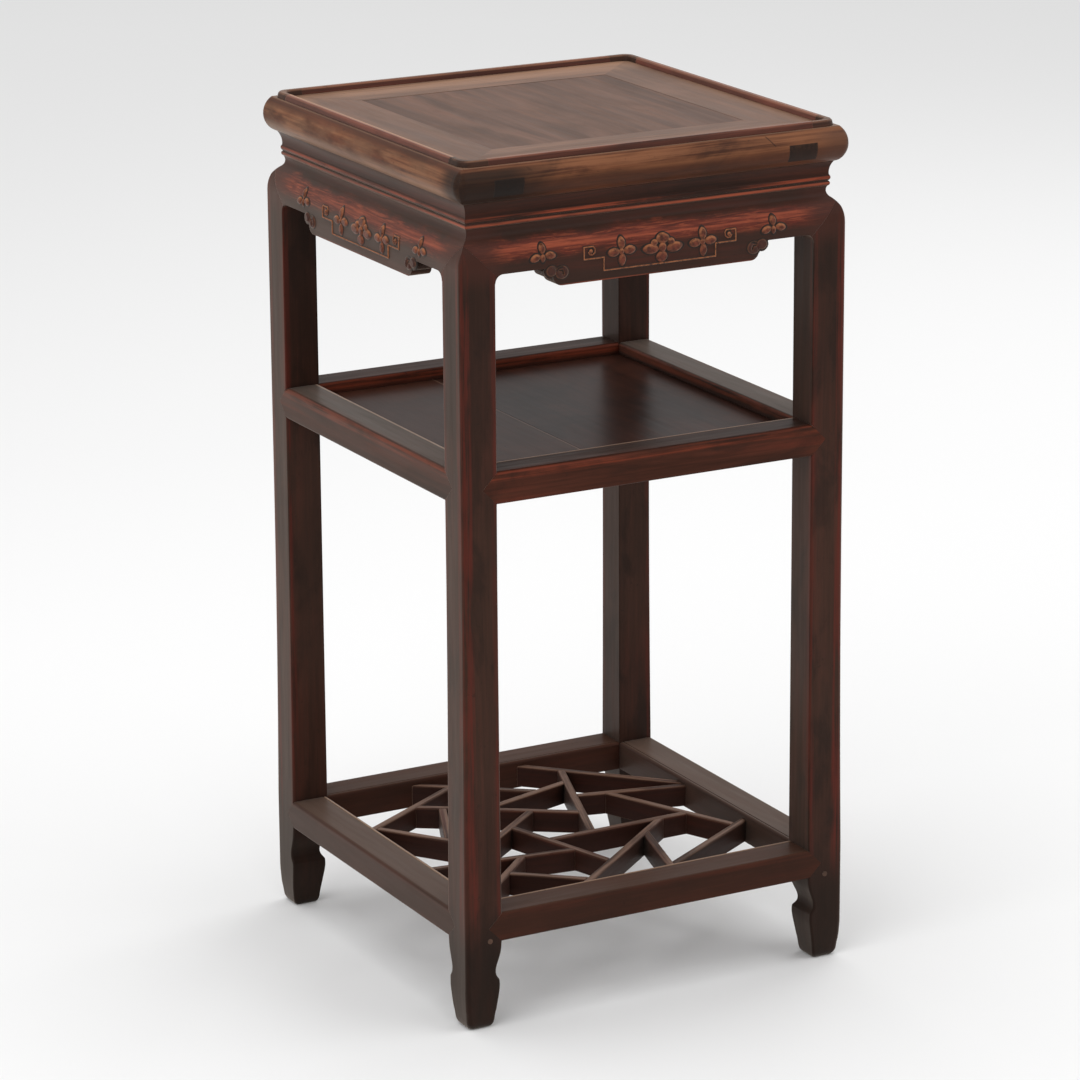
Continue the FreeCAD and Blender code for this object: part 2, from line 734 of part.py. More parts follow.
def lattice_bars():
    """All bars, trimmed where they run into each other, with tenons and mortises."""
    numbers = range(1, len(BARS) + 1)
    inside = box((-LEG_IN, LEG_IN), (-LEG_IN, LEG_IN), (0, HEIGHT))
    bars = []
    for number in numbers:
        start, end = bar_ends(number)
        body = stick(start, end, bar_section(), BAR_ROOM).common(inside)
        for stop in BARS[number - 1][2:]:
            if isinstance(stop, int):
                body = body.cut(bar_block(stop))
        body = merged(largest(body), bar_tenon(number))
        for other in numbers:
            if number in BARS[other - 1][2:]:
                body = body.cut(bar_tenon(other))
        bars.append(largest(body))
    return bars


def build():
    """All pieces of the stand by name."""
    pieces = {}

    aprons = [turned(apron(), k) for k in range(4)]
    waists = [turned(waist(), k) for k in range(4)]
    strips = [turned(lip_strip(), k) for k in range(4)]
    corners = [turned(lip_corner(), k) for k in range(4)]

    # Front and back rails are tenoned low in the legs, side rails high, so the tenons pass.
    rails = {}
    ends = []
    tiers = (
        ("middle", MIDDLE_RAIL, LEG_OUT, MIDDLE_RAIL_ROUND),
        ("lower", LOWER_RAIL, FOOT_OUT, LOWER_RAIL_ROUND),
    )
    for name, z, face_q, round_top in tiers:
        low, high = tenon_heights(z)
        for k, side in enumerate(SIDES):
            tenon_z = low if side in ("front", "back") else high
            rails[name, side] = turned(rail(z, tenon_z, face_q, round_top), k)
            end = rail_end(z, tenon_z)
            ends += [turned(end, k), turned(mirrored(end), k)]

    pegs = [peg(x, -1) for x in FRONT_PEG_X] + [peg(x, 1) for x in BACK_PEG_X]
    stick_leg = leg_stick()
    for k, corner in enumerate(CORNERS):
        pieces["leg_" + corner] = largest(turned(stick_leg, k).cut(aprons + ends + pegs))

    # Top frame: side members carry the through tenons, front and back members the mortises.
    right_tenons = through_tenons()
    left_tenons = [mirrored(tenon) for tenon in right_tenons]
    neck_tenons = [turned(neck_tenon(), k) for k in range(4)]
    panel_underside = LIP_FOOT - PANEL_DROP - PANEL_THICK
    top_batten = batten(panel_underside, FRAME_IN, TOP_BATTEN_DEPTH)
    for k, side in enumerate(SIDES):
        member = turned(frame_member(), k)
        if side in ("front", "back"):
            member = member.cut(right_tenons + left_tenons)
        else:
            member = merged(member, *(right_tenons if side == "right" else left_tenons))
        member = member.cut(neck_tenons + waists + strips + corners + [top_batten])
        pieces["top_frame_" + side] = largest(member)
    pieces["top_panel"] = largest(top_panel().cut(top_batten))
    pieces["top_batten"] = top_batten

    for k, side in enumerate(SIDES):
        pieces["lip_" + side] = strips[k]
        pieces["waist_" + side] = waists[k]
        pieces["apron_" + side] = aprons[k]
    for k, corner in enumerate(CORNERS):
        pieces["lip_corner_" + corner] = corners[k]

    shelf_batten = batten(MIDDLE_SHELF_TOP - SHELF_THICK, LEG_IN, SHELF_BATTEN_DEPTH)
    for k, side in enumerate(SIDES):
        middle = rails["middle", side].cut([turned(shelf_groove(), k), shelf_batten])
        pieces["middle_rail_" + side] = largest(middle)
    narrow, wide = shelf_boards()
    pieces["middle_board_narrow"] = largest(narrow.cut(shelf_batten))
    pieces["middle_board_wide"] = largest(wide.cut(shelf_batten))
    pieces["middle_batten"] = shelf_batten

    bar_tenons = [bar_tenon(n) for n in range(1, len(BARS) + 1)]
    for k, side in enumerate(SIDES):
        lower = rails["lower", side].cut(bar_tenons + pegs + [turned(edge_line(), k)])
        pieces["lower_rail_" + side] = largest(lower)
    for number, bar in enumerate(lattice_bars(), start=1):
        pieces["lattice_bar_%02d" % number] = bar
    pieces["rail_pegs"] = Part.makeCompound(pegs)
    return pieces


os.makedirs("parts", exist_ok=True)
for name, shape in build().items():
    shape.exportStep("parts/%s.step" % name)
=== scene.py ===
import math

import bpy
import numpy as np
from mathutils import Matrix, Vector


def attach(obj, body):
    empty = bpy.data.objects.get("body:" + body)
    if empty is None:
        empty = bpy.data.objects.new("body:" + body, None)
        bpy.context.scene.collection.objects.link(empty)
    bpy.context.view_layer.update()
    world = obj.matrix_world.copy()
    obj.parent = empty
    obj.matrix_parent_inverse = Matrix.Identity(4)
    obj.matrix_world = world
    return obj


# Three-tier stand, in metres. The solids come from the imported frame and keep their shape.
# This script adds the low carving on the aprons, the wood finishes, the floor, lights and camera.

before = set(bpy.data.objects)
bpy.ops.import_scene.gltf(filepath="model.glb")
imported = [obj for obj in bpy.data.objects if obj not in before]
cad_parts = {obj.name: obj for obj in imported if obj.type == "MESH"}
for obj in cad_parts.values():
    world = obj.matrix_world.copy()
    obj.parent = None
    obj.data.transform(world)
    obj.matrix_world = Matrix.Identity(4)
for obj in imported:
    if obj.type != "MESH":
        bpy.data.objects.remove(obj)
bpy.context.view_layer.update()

# Camera, fitted to the photograph
AZIMUTH = math.radians(-28.462)
ELEVATION = math.radians(16.0505)
ROLL = math.radians(-0.3352)
DISTANCE = 4.4058
TARGET_HEIGHT = 0.41948
PHOTO_SIZE = 1080.0
FOCAL_PIXELS = 4652.49
PRINCIPAL_POINT = (552.956, 510.749)
SENSOR = 36.0
CLIP_END = 200.0

# Places worked out from the frame


def extent(node_name, axis):
    """The lowest and highest place of a node along an axis, to a micrometre."""
    places = [getattr(vertex.co, axis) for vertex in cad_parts[node_name].data.vertices]
    return round(min(places), 6), round(max(places), 6)


BAR_TOP = extent("lattice_bar_01", "z")[1]
LOWER_RAIL_TOP = extent("lower_rail_front", "z")[1]
MIDDLE_RAIL_TOP = extent("middle_rail_front", "z")[1]
MEMBER_TOP = extent("top_frame_front", "z")[1]
LIP_TOP = extent("lip_front", "z")[1]
RAIL_INNER_FACE = extent("middle_rail_right", "x")[0]
SHELF_SEAM = (extent("middle_board_narrow", "x")[1] + extent("middle_board_wide", "x")[0]) / 2

# Zones of the finish. A pair is where a zone starts and where it is full. A triple is a zone's two
# limits and the width over which it fades outside them.

# Heights
FOOT = (0.130, 0.060)
# The bars' top faces: dust, and a painted highlight
BAR_DUST_AND_HIGHLIGHT = (BAR_TOP - 0.0012, BAR_TOP - 0.0002)
BAR_SIDE = (BAR_TOP - 0.0010, BAR_TOP - 0.0030)
LOWER_RAIL_EDGE = (LOWER_RAIL_TOP - 0.0040, LOWER_RAIL_TOP - 0.0012, 0.0015)
LOWER_RAIL_FACE = (LOWER_RAIL_TOP - 0.0012, LOWER_RAIL_TOP)
OVER_LOWER_RAIL = (LOWER_RAIL_TOP + 0.0020, LOWER_RAIL_TOP + 0.0010)
LOWER_RAILS = (0.200, 0.150)
LEG_SHAFT = (0.130, 0.690, 0.060)
LEG_MIDDLE = (0.260, 0.450, 0.080)
MIDDLE_RAIL_EDGE = (MIDDLE_RAIL_TOP - 0.0065, MIDDLE_RAIL_TOP - 0.0012, 0.0030)
MIDDLE_RAIL_FACE = (MIDDLE_RAIL_TOP - 0.0012, MIDDLE_RAIL_TOP - 0.0002)
LEG_UPPER = (0.580, 0.690, 0.040)
LEG_HEAD = (0.690, 0.716)
APRON_HEM = (0.6922, 0.6912)
CARVED_FIELD = (0.7250, 0.7160)
SHOULDER = (0.7210, 0.7320, 0.0075)
SHOULDER_STREAK = (0.7270, 0.7300, 0.0022)
NECK = (0.7320, 0.7400)
APRON_BEAD = (0.7498, 0.7512, 0.0010)
WAIST_BEAD = (0.7552, 0.7570, 0.0010)
TENON_Z = (0.7775, 0.7925, 0.0008)
EDGE_FOOT = (0.788, 0.777)
EDGE_MIDDLE = (0.7740, 0.7960, 0.0060)
EDGE_UPPER = (0.7925, 0.8020, 0.0075)
PALE_EDGE = (0.802, 0.796)
STAINED_EDGE = (0.8050, 0.7990)
TOP_FACE = (MEMBER_TOP - 0.0009, MEMBER_TOP - 0.0001)
CREST_SIDE = (LIP_TOP - 0.0022, LIP_TOP - 0.0012)
CREST = (LIP_TOP - 0.0018, LIP_TOP - 0.0004)

# Distances out from the centre. At the leg's arris it is the sum of those along x and along y.
RAIL_INNER_EDGE = (RAIL_INNER_FACE + 0.0030, RAIL_INNER_FACE + 0.0010)
RAIL_LINE = (RAIL_INNER_FACE + 0.0026, RAIL_INNER_FACE + 0.0042, 0.0006)
RAIL_OUTER_FACE = (0.188, 0.195)
LEG_OUTER_FACE = (0.192, 0.196)
LEG_FACE_END = (0.1715, 0.1660)
LEG_ARRIS = (0.3905, 0.3965, 0.0035)
APRON_END = (0.146, 0.172)
APRON_STREAK_END = (0.180, 0.140)
TENON_X = (0.136, 0.165, 0.0008)
TENON_Y = (0.186, 0.187)
BESIDE_LIP = (0.160, 0.182)
CREST_INNER = (0.1888, 0.1876)
PALE_SIDE = (0.188, 0.193)

# Places on one side only, along x or y
NARROW_BOARD_X = (SHELF_SEAM + 0.0005, SHELF_SEAM - 0.0005)
SEAM_LINE_X = (SHELF_SEAM - 0.0016, SHELF_SEAM - 0.0002, 0.0003)
BACK_MEMBER_Y = (0.130, 0.165)
LEFT_MEMBER_X = (-0.126, -0.150)
LEFT_LIP_X = (-0.180, -0.184)
STAIN_X = (-0.080, -0.155)
STAIN_Y = (-0.160, -0.186)
OUTER_EDGE = (-0.187, -0.190)
DULL_CORNER_X = (0.150, 0.188)
DULL_CORNER_Y = (-0.160, -0.187)

# The crack beside the right tenon: its x at one level, its depth and height, and how far it leans as it falls
CRACK_X = (0.1161, 0.1169, 0.0005)
CRACK_LEVEL = 0.7990
CRACK_Y = (-0.186, -0.188)
CRACK_Z = (0.7940, 0.8020, 0.0010)
CRACK_LEAN = 0.9

# Half the width over which a zone changes at a mitre, and the range in which the shoulder's red drifts
MITRE_FADE = 0.002
SHOULDER_DRIFT = 0.016

# Shader helpers


def linear(red, green, blue):
    """A scene colour from a colour as seen on screen, each part from 0 to 255."""
    parts = []
    for part in (red, green, blue):
        share = part / 255
        parts.append(share / 12.92 if share <= 0.04045 else ((share + 0.055) / 1.055) ** 2.4)
    return (*parts, 1.0)


def add(tree, kind, sockets=None, **settings):
    """One shader node with its settings; each socket is linked or set to a constant."""
    made = tree.nodes.new(kind)
    for key, value in settings.items():
        setattr(made, key, value)
    for key, value in (sockets or {}).items():
        if isinstance(value, bpy.types.NodeSocket):
            tree.links.new(value, made.inputs[key])
        else:
            made.inputs[key].default_value = value
    return made


def maths(tree, operation, first, second=0.0):
    """A Math node's result."""
    return add(tree, "ShaderNodeMath", {0: first, 1: second}, operation=operation).outputs[0]


def times(tree, *factors):
    """The product of several values."""
    product = factors[0]
    for factor in factors[1:]:
        product = maths(tree, "MULTIPLY", product, factor)
    return product


def ramp(tree, value, start, end):
    """0 up to start, 1 from end on, with a smooth step between; start may be above end."""
    low, high, at_low, at_high = (start, end, 0.0, 1.0) if start < end else (end, start, 1.0, 0.0)
    made = add(tree, "ShaderNodeMapRange", {
        "Value": value, "From Min": low, "From Max": high, "To Min": at_low, "To Max": at_high,
    }, interpolation_type="SMOOTHSTEP")
    return made.outputs["Result"]


def band(tree, value, low, high, soft):
    """1 between low and high, fading to 0 over the soft distance outside."""
    return times(tree, ramp(tree, value, low - soft, low), ramp(tree, value, high + soft, high))


def spread(tree, value, low, high):
    """A noise value from 0.3 to 0.7, spread from low to high."""
    made = add(tree, "ShaderNodeMapRange", {
        "Value": value, "From Min": 0.3, "From Max": 0.7, "To Min": low, "To Max": high,
    })
    return made.outputs["Result"]


def mix(tree, factor, first, second):
    """A colour between two colours."""
    return add(tree, "ShaderNodeMix", {0: factor, 6: first, 7: second}, data_type="RGBA").outputs[2]


def noise(tree, coords, scale, detail, roughness, distortion=0.0):
    """Noise over coordinates that are stretched by a scale for each axis."""
    stretched = add(tree, "ShaderNodeMapping", {"Vector": coords, "Scale": scale}).outputs[0]
    made = add(tree, "ShaderNodeTexNoise", {
        "Vector": stretched, "Scale": 1.0, "Detail": detail, "Roughness": roughness,
        "Distortion": distortion,
    })
    return made.outputs["Fac"]


def stretch(axis, along, across):
    """Scales for noise that runs along one axis."""
    return [along if name == axis else across for name in "xyz"]


def new_material(name):
    """An empty material and its node tree."""
    material = bpy.data.materials.new(name)
    material.use_nodes = True
    material.node_tree.nodes.clear()
    return material, material.node_tree


# Wood finishes

# What a style has where it doesn't say otherwise. One share is for the painted shade in corners.
COMMON = dict(rough=(0.32, 0.46), corner_shade=0.8, edge_share=0.4, edge_radius=0.0006, relief=0.12, waves=0.35)

# Colours as seen on screen: dark and mid grain, red where the stain is rubbed thin, worn zones,
# the old dark lacquer left in patches, and the sharp edges. Shares run from 0 to 1.
STYLES = {
    "leg": dict(
        dark=(44, 27, 20), mid=(60, 36, 28), red=(82, 36, 27), worn=(88, 34, 26), lacquer=(34, 24, 19),
        edge=(30, 20, 16), red_share=0.3, lacquer_share=0.5, gloss=0.06, sheen=0.38, edge_share=0.25,
        waves=0.2),
    "rail": dict(
        dark=(54, 31, 23), mid=(80, 44, 33), red=(106, 46, 33), worn=(126, 58, 40), lacquer=(40, 28, 23),
        edge=(28, 19, 15), red_share=0.5, lacquer_share=0.6, gloss=0.04, sheen=0.04, corner_shade=0.4),
    "side_rail": dict(
        dark=(46, 28, 21), mid=(68, 41, 32), red=(92, 42, 30), worn=(124, 62, 44), lacquer=(36, 26, 21),
        edge=(28, 19, 15), red_share=0.45, lacquer_share=0.55, gloss=0.06, sheen=0.26, corner_shade=0.4),
    "top_frame": dict(
        dark=(66, 38, 25), mid=(92, 53, 35), red=(106, 52, 32), worn=(134, 87, 59), lacquer=(48, 31, 24),
        edge=(80, 55, 42), red_share=0.4, lacquer_share=0.6, gloss=0.08, sheen=0.06, corner_shade=0.45,
        edge_share=0.2),
    "top_panel": dict(
        dark=(70, 48, 38), mid=(106, 76, 61), red=(104, 62, 47), lacquer=(62, 47, 39), edge=(90, 64, 50),
        red_share=0.4, lacquer_share=0.4, rough=(0.40, 0.55), gloss=0.1, sheen=0.04, corner_shade=0.0,
        edge_share=0.1),
    "lip": dict(
        dark=(62, 34, 27), mid=(106, 59, 46), red=(122, 60, 46), worn=(130, 80, 62), lacquer=(46, 31, 26),
        edge=(112, 68, 52), red_share=0.5, lacquer_share=0.4, rough=(0.34, 0.50), gloss=0.1, sheen=0.2,
        corner_shade=0.3, edge_radius=0.001),
    "lip_corner": dict(
        dark=(42, 28, 22), mid=(68, 44, 34), red=(84, 46, 35), worn=(122, 86, 66), lacquer=(34, 26, 22),
        edge=(92, 64, 50), red_share=0.35, lacquer_share=0.4, rough=(0.34, 0.50), gloss=0.08, sheen=0.12,
        corner_shade=0.4, edge_radius=0.001),
    "waist": dict(
        dark=(36, 20, 14), mid=(64, 33, 23), red=(92, 35, 22), worn=(146, 66, 42), lacquer=(29, 19, 15),
        edge=(22, 15, 12), red_share=0.45, lacquer_share=0.5, rough=(0.28, 0.42), gloss=0.08, sheen=0.32),
    "apron": dict(
        dark=(44, 25, 19), mid=(68, 36, 27), red=(108, 38, 27), worn=(152, 74, 50), lacquer=(32, 22, 18),
        edge=(30, 20, 16), red_share=0.55, lacquer_share=0.55, gloss=0.08, sheen=0.43, edge_share=0.25),
    "shelf": dict(
        dark=(54, 32, 25), mid=(70, 42, 33), red=(84, 44, 33), lacquer=(44, 30, 25), edge=(24, 16, 13),
        red_share=0.35, lacquer_share=0.5, rough=(0.27, 0.32), gloss=0.048, sheen=0.0, relief=0.009,
        waves=0.12),
    "lattice": dict(
        dark=(42, 25, 19), mid=(70, 41, 31), red=(100, 42, 28), worn=(124, 95, 79), lacquer=(35, 25, 20),
        edge=(138, 108, 90), red_share=0.5, lacquer_share=0.5, rough=(0.38, 0.54), gloss=0.08, sheen=0.05,
        edge_share=0.5, edge_radius=0.0011),
    "peg": dict(
        dark=(64, 46, 36), mid=(98, 72, 58), red=(92, 58, 44), lacquer=(48, 37, 30), edge=(30, 22, 18),
        red_share=0.2, lacquer_share=0.3, rough=(0.45, 0.6), gloss=0.16, sheen=0.1),
    "hidden": dict(
        dark=(96, 66, 46), mid=(140, 102, 72), red=(132, 88, 60), lacquer=(82, 58, 42), edge=(120, 90, 66),
        red_share=0.2, lacquer_share=0.3, rough=(0.5, 0.65), gloss=0.16, sheen=0.0),
}
SHEEN_ROUGHNESS = 0.4
SHEEN_TINT = (1.0, 0.83, 0.69, 1.0)
# How far the painted corner shade looks for close surfaces
CORNER_SHADE_REACH = 0.012
WAVE_DEPTH = 0.003
FIBRE_DEPTH = 0.0006
PIECE_STEP = (7.0, 11.0, 13.0)
CARVING_ROUGH = (0.34, 0.50)
CARVING_GLOSS = 0.14
CARVING_SHEEN = 0.3
CARVING_RELIEF = 0.25
MOTTLE_DEPTH = 0.0004

# Colours of single zones, as seen on screen
PAINTS = {
    # Painted shade in corners, where other surfaces are close
    "corner_shade": (18, 13, 11),
    "end_grain": (28, 24, 22),
    "top_grey": (120, 92, 75),
    "top_beside_lip": (142, 108, 84),
    "top_back": (158, 122, 98),
    "top_left": (84, 58, 45),
    "top_grain": (70, 48, 38),
    # Paler patches on the side members' rounded edge, partly painted sheen, and a painted reflection of the
    # floor below them
    "side_patch_and_sheen": (140, 104, 77),
    "side_floor_reflection": (150, 122, 102),
    # The pale line inside the lip's crest: rubbed wear, and at the left a painted highlight
    "crest": (184, 140, 104),
    "stained_corner": (31, 23, 19),
    "dull_corner": (80, 55, 45),
    "crack": (36, 24, 19),
    "lower_rail": (52, 34, 27),
    "middle_rail_top": (34, 24, 20),
    "lower_rail_top": (92, 66, 52),
    # The pale line inside the front and left rails: rubbed wear and a painted highlight
    "rail_wear_and_highlight_line": (178, 146, 122),
    "shoulder": (106, 43, 32),
    "shoulder_gap": (52, 27, 21),
    "shoulder_flame": (156, 80, 52),
    "shoulder_end": (62, 34, 27),
    "carved_field": (46, 31, 25),
    # Painted shade on the legs under the heads, and a painted sheen half way down
    "leg_upper_shade": (34, 23, 19),
    "leg_middle_sheen": (92, 66, 54),
    "leg_stain": (31, 21, 17),
    # Painted shade on the feet
    "foot": (24, 17, 13),
    # Painted shade on the sides of the lattice bars
    "bar_side_shade": (42, 22, 17),
    "shelf_cloud": (34, 23, 20),
    "narrow_board": (78, 48, 36),
    "shelf_seam": (132, 104, 88),
    "petal_dark": (62, 29, 22),
    "petal_red": (98, 46, 33),
    "carved_cloud": (54, 34, 28),
    # Painted shade in the outlines round the carved shapes
    "carving_outline_shade": (32, 23, 19),
    "carving_gold": (180, 116, 74),
    "carving_fibre": (70, 36, 26),
}


def painted(name):
    """A zone's colour."""
    return linear(*PAINTS[name])


def tint(tree, colour, name, *shares):
    """A colour with some of a zone's colour over it, by the product of the shares."""
    return mix(tree, times(tree, *shares), colour, painted(name))


def piece_coords(tree):
    """Object coordinates, and a copy moved by a random step for each piece so that no two match."""
    coords = add(tree, "ShaderNodeTexCoord").outputs["Object"]
    chance = add(tree, "ShaderNodeObjectInfo").outputs["Random"]
    step = add(tree, "ShaderNodeCombineXYZ", {
        axis: times(tree, chance, far) for axis, far in zip("XYZ", PIECE_STEP)
    }).outputs[0]
    moved = add(tree, "ShaderNodeVectorMath", {0: coords, 1: step}, operation="ADD").outputs[0]
    return coords, moved


def bar_coords(tree, coords):
    """Coordinates turned so that X runs along a lattice bar."""
    turn = add(
        tree, "ShaderNodeAttribute", attribute_type="OBJECT", attribute_name="grain_turn").outputs["Fac"]
    turned = add(tree, "ShaderNodeVectorRotate", {
        "Vector": coords, "Angle": maths(tree, "MULTIPLY", turn, -1.0),
    }, rotation_type="Z_AXIS")
    return turned.outputs[0]


class Place:
    """Where a shaded spot is, and its grain.

    Its distances from the centre are across (along x) and deep (along y); out is the larger of the two
    and along the smaller.
    """

    def __init__(self, tree, coords, grain):
        self.coords = coords
        self.grain = grain
        parts = add(tree, "ShaderNodeSeparateXYZ", {0: coords})
        self.x, self.y, self.z = parts.outputs[0], parts.outputs[1], parts.outputs[2]
        self.across = maths(tree, "ABSOLUTE", self.x)
        self.deep = maths(tree, "ABSOLUTE", self.y)
        self.out = maths(tree, "MAXIMUM", self.across, self.deep)
        self.along = maths(tree, "MINIMUM", self.across, self.deep)


# Worn zones, each a share from 0 to 1


def leg_wear(tree, spot):
    """Red streaks beside a leg's outer arris, and on the arrises where its outer faces end."""
    reach = maths(tree, "ADD", spot.across, spot.deep)
    outer = times(tree, band(tree, reach, *LEG_ARRIS), 0.75)
    ends = times(tree, ramp(tree, spot.out, *LEG_OUTER_FACE), ramp(tree, spot.along, *LEG_FACE_END), 0.6)
    return times(tree, maths(tree, "MAXIMUM", outer, ends), band(tree, spot.z, *LEG_SHAFT))


def rail_wear(tree, spot):
    """The upper edges of the middle rails, inside and out; the lower rails' outer edge only a little."""
    middle = band(tree, spot.z, *MIDDLE_RAIL_EDGE)
    lower = band(tree, spot.z, *LOWER_RAIL_EDGE)
    inside = ramp(tree, spot.out, *RAIL_INNER_EDGE)
    outside = ramp(tree, spot.out, *RAIL_OUTER_FACE)
    faces = maths(tree, "MAXIMUM", inside, times(tree, outside, 0.7))
    return maths(tree, "MAXIMUM", times(tree, middle, faces, 0.85), times(tree, lower, outside, 0.3))


def top_wear(tree, spot):
    """The rounded edge: its upper part at the front and back, its middle at the sides."""
    side = ramp(tree, maths(tree, "SUBTRACT", spot.across, spot.deep), -MITRE_FADE, MITRE_FADE)
    upper = band(tree, spot.z, *EDGE_UPPER)
    middle = band(tree, spot.z, *EDGE_MIDDLE)
    blotch = ramp(tree, noise(tree, spot.coords, (14.0, 14.0, 40.0), 3.0, 0.6), 0.38, 0.56)
    at_front = times(tree, maths(tree, "SUBTRACT", 1.0, side), upper, 0.75)
    return maths(tree, "MAXIMUM", at_front, times(tree, side, middle, blotch, 0.8))


def lip_wear(tree, spot):
    """The crest of the lip."""
    return times(tree, ramp(tree, spot.z, *CREST), 0.7)


def waist_wear(tree, spot):
    """The bead at the foot of the waist."""
    return times(tree, band(tree, spot.z, *WAIST_BEAD), 0.85)


def apron_wear(tree, spot):
    """A thin streak along the shoulder, less towards the corners, the bead above the neck and the hem."""
    bead = times(tree, band(tree, spot.z, *APRON_BEAD), 0.85)
    hem = times(tree, ramp(tree, spot.z, *APRON_HEM), 0.5)
    streak = band(tree, spot.z, *SHOULDER_STREAK)
    inside = ramp(tree, spot.along, *APRON_STREAK_END)
    return maths(tree, "MAXIMUM", maths(tree, "MAXIMUM", bead, hem), times(tree, streak, inside, 0.75))


def bar_dust_and_highlight(tree, spot):
    """Dusty top faces, paler also as a painted highlight."""
    return times(tree, ramp(tree, spot.z, *BAR_DUST_AND_HIGHLIGHT), 0.9)


WEAR_ZONES = {
    "leg": leg_wear, "rail": rail_wear, "side_rail": rail_wear, "top_frame": top_wear,
    "lip": lip_wear, "lip_corner": lip_wear, "waist": waist_wear, "apron": apron_wear,
    "lattice": bar_dust_and_highlight,
}


# Tones of whole pieces, laid under the worn zones


def apron_tones(tree, spot, colour):
    """Figured red on the shoulder, dark in the carved field below it, in the neck and at the ends."""
    drift = noise(tree, spot.coords, (34.0, 34.0, 70.0), 4.0, 0.6)
    sway = times(tree, maths(tree, "SUBTRACT", drift, 0.5), SHOULDER_DRIFT)
    level = maths(tree, "ADD", spot.z, sway)
    shoulder = band(tree, level, *SHOULDER)
    figure = noise(tree, spot.coords, (26.0, 26.0, 420.0), 5.0, 0.65, 1.6)
    colour = tint(tree, colour, "shoulder", shoulder, 0.6)
    colour = tint(tree, colour, "shoulder_gap", shoulder, ramp(tree, figure, 0.48, 0.38), 0.6)
    colour = tint(tree, colour, "shoulder_flame", shoulder, ramp(tree, figure, 0.50, 0.62), 0.5)
    dark = maths(tree, "MAXIMUM", ramp(tree, level, *CARVED_FIELD), ramp(tree, level, *NECK))
    colour = tint(tree, colour, "carved_field", dark, 0.65)
    return tint(tree, colour, "shoulder_end", ramp(tree, spot.along, *APRON_END), 0.8)


def leg_tones(tree, spot, colour):
    """Heads of one tone with the aprons' ends, painted shade under them and on the feet, a painted sheen half
    way down, and stains.
    """
    stains = ramp(tree, noise(tree, spot.coords, (42.0, 42.0, 13.0), 5.0, 0.62, 0.4), 0.48, 0.66)
    # Painted shade under the heads and a painted sheen half way down
    colour = tint(tree, colour, "leg_upper_shade", band(tree, spot.z, *LEG_UPPER), 0.35)
    colour = tint(tree, colour, "leg_middle_sheen", band(tree, spot.z, *LEG_MIDDLE), 0.1)
    colour = tint(tree, colour, "leg_stain", stains, 0.55)
    colour = tint(tree, colour, "shoulder_end", ramp(tree, spot.z, *LEG_HEAD), 0.8)
    # Painted shade on the feet
    return tint(tree, colour, "foot", ramp(tree, spot.z, *FOOT), 0.7)


def bar_tones(tree, spot, colour):
    """Painted shade on the bar sides below their top edges."""
    return tint(tree, colour, "bar_side_shade", ramp(tree, spot.z, *BAR_SIDE), 0.75)


def shelf_tones(tree, spot, colour):
    """Cloudy dark marks, a warmer narrow board, and a rubbed line beside the seam of the two boards."""
    clouds = ramp(tree, noise(tree, spot.coords, (11.0, 11.0, 11.0), 5.0, 0.6, 0.6), 0.44, 0.66)
    colour = tint(tree, colour, "shelf_cloud", clouds, 0.65)
    colour = tint(tree, colour, "narrow_board", ramp(tree, spot.x, *NARROW_BOARD_X), 0.35)
    return tint(tree, colour, "shelf_seam", band(tree, spot.x, *SEAM_LINE_X), 0.6)


TONES = {"apron": apron_tones, "leg": leg_tones, "lattice": bar_tones, "shelf": shelf_tones}


# Zones of colour on the top, the lip and the rails, laid over the worn zones


def tenon_end(tree, spot, colour):
    """Dark end grain where the side members' tenons come through the front and back of the top."""
    beside = band(tree, spot.across, *TENON_X)
    upright = band(tree, spot.z, *TENON_Z)
    return tint(tree, colour, "end_grain", beside, upright, ramp(tree, spot.deep, *TENON_Y), 0.85)


def top_face(tree, spot, colour):
    """The frame's upper face, greyer than its edge, palest at the back and by the lip, dark in its grain."""
    flat = ramp(tree, spot.z, *TOP_FACE)
    colour = tint(tree, colour, "top_grey", flat, 0.55)
    colour = tint(tree, colour, "top_beside_lip", flat, ramp(tree, spot.out, *BESIDE_LIP), 0.3)
    colour = tint(tree, colour, "top_back", flat, ramp(tree, spot.y, *BACK_MEMBER_Y), 0.5)
    colour = tint(tree, colour, "top_left", flat, ramp(tree, spot.x, *LEFT_MEMBER_X), 0.3)
    return tint(tree, colour, "top_grain", flat, ramp(tree, spot.grain, 0.56, 0.40), 0.45)


def side_patches_and_sheen(tree, spot, colour):
    """The rounded edge of the side members, paler and greyer than that of the front and back: paler patches
    that are partly painted sheen, and a painted reflection of the floor on its lower part.
    """
    swell = times(tree, ramp(tree, spot.across, *PALE_SIDE), ramp(tree, spot.z, *PALE_EDGE))
    blotch = ramp(tree, noise(tree, spot.coords, (30.0, 18.0, 60.0), 4.0, 0.6), 0.36, 0.60)
    colour = tint(tree, colour, "side_patch_and_sheen", swell, blotch, 0.3)
    # Painted reflection of the floor on the lower part of the rounded edge
    return tint(tree, colour, "side_floor_reflection", swell, ramp(tree, spot.z, *EDGE_FOOT), 0.5)


def crest_line(tree, spot, colour):
    """A pale line along the inner side of the lip's crest: rubbed wear, and at the left a painted highlight,
    so it is brightest there.
    """
    crest = times(tree, ramp(tree, spot.z, *CREST_SIDE), ramp(tree, spot.out, *CREST_INNER))
    # Brighter at the left: a painted highlight
    share = maths(tree, "ADD", 0.1, times(tree, ramp(tree, spot.x, *LEFT_LIP_X), 0.45))
    return tint(tree, colour, "crest", crest, share)


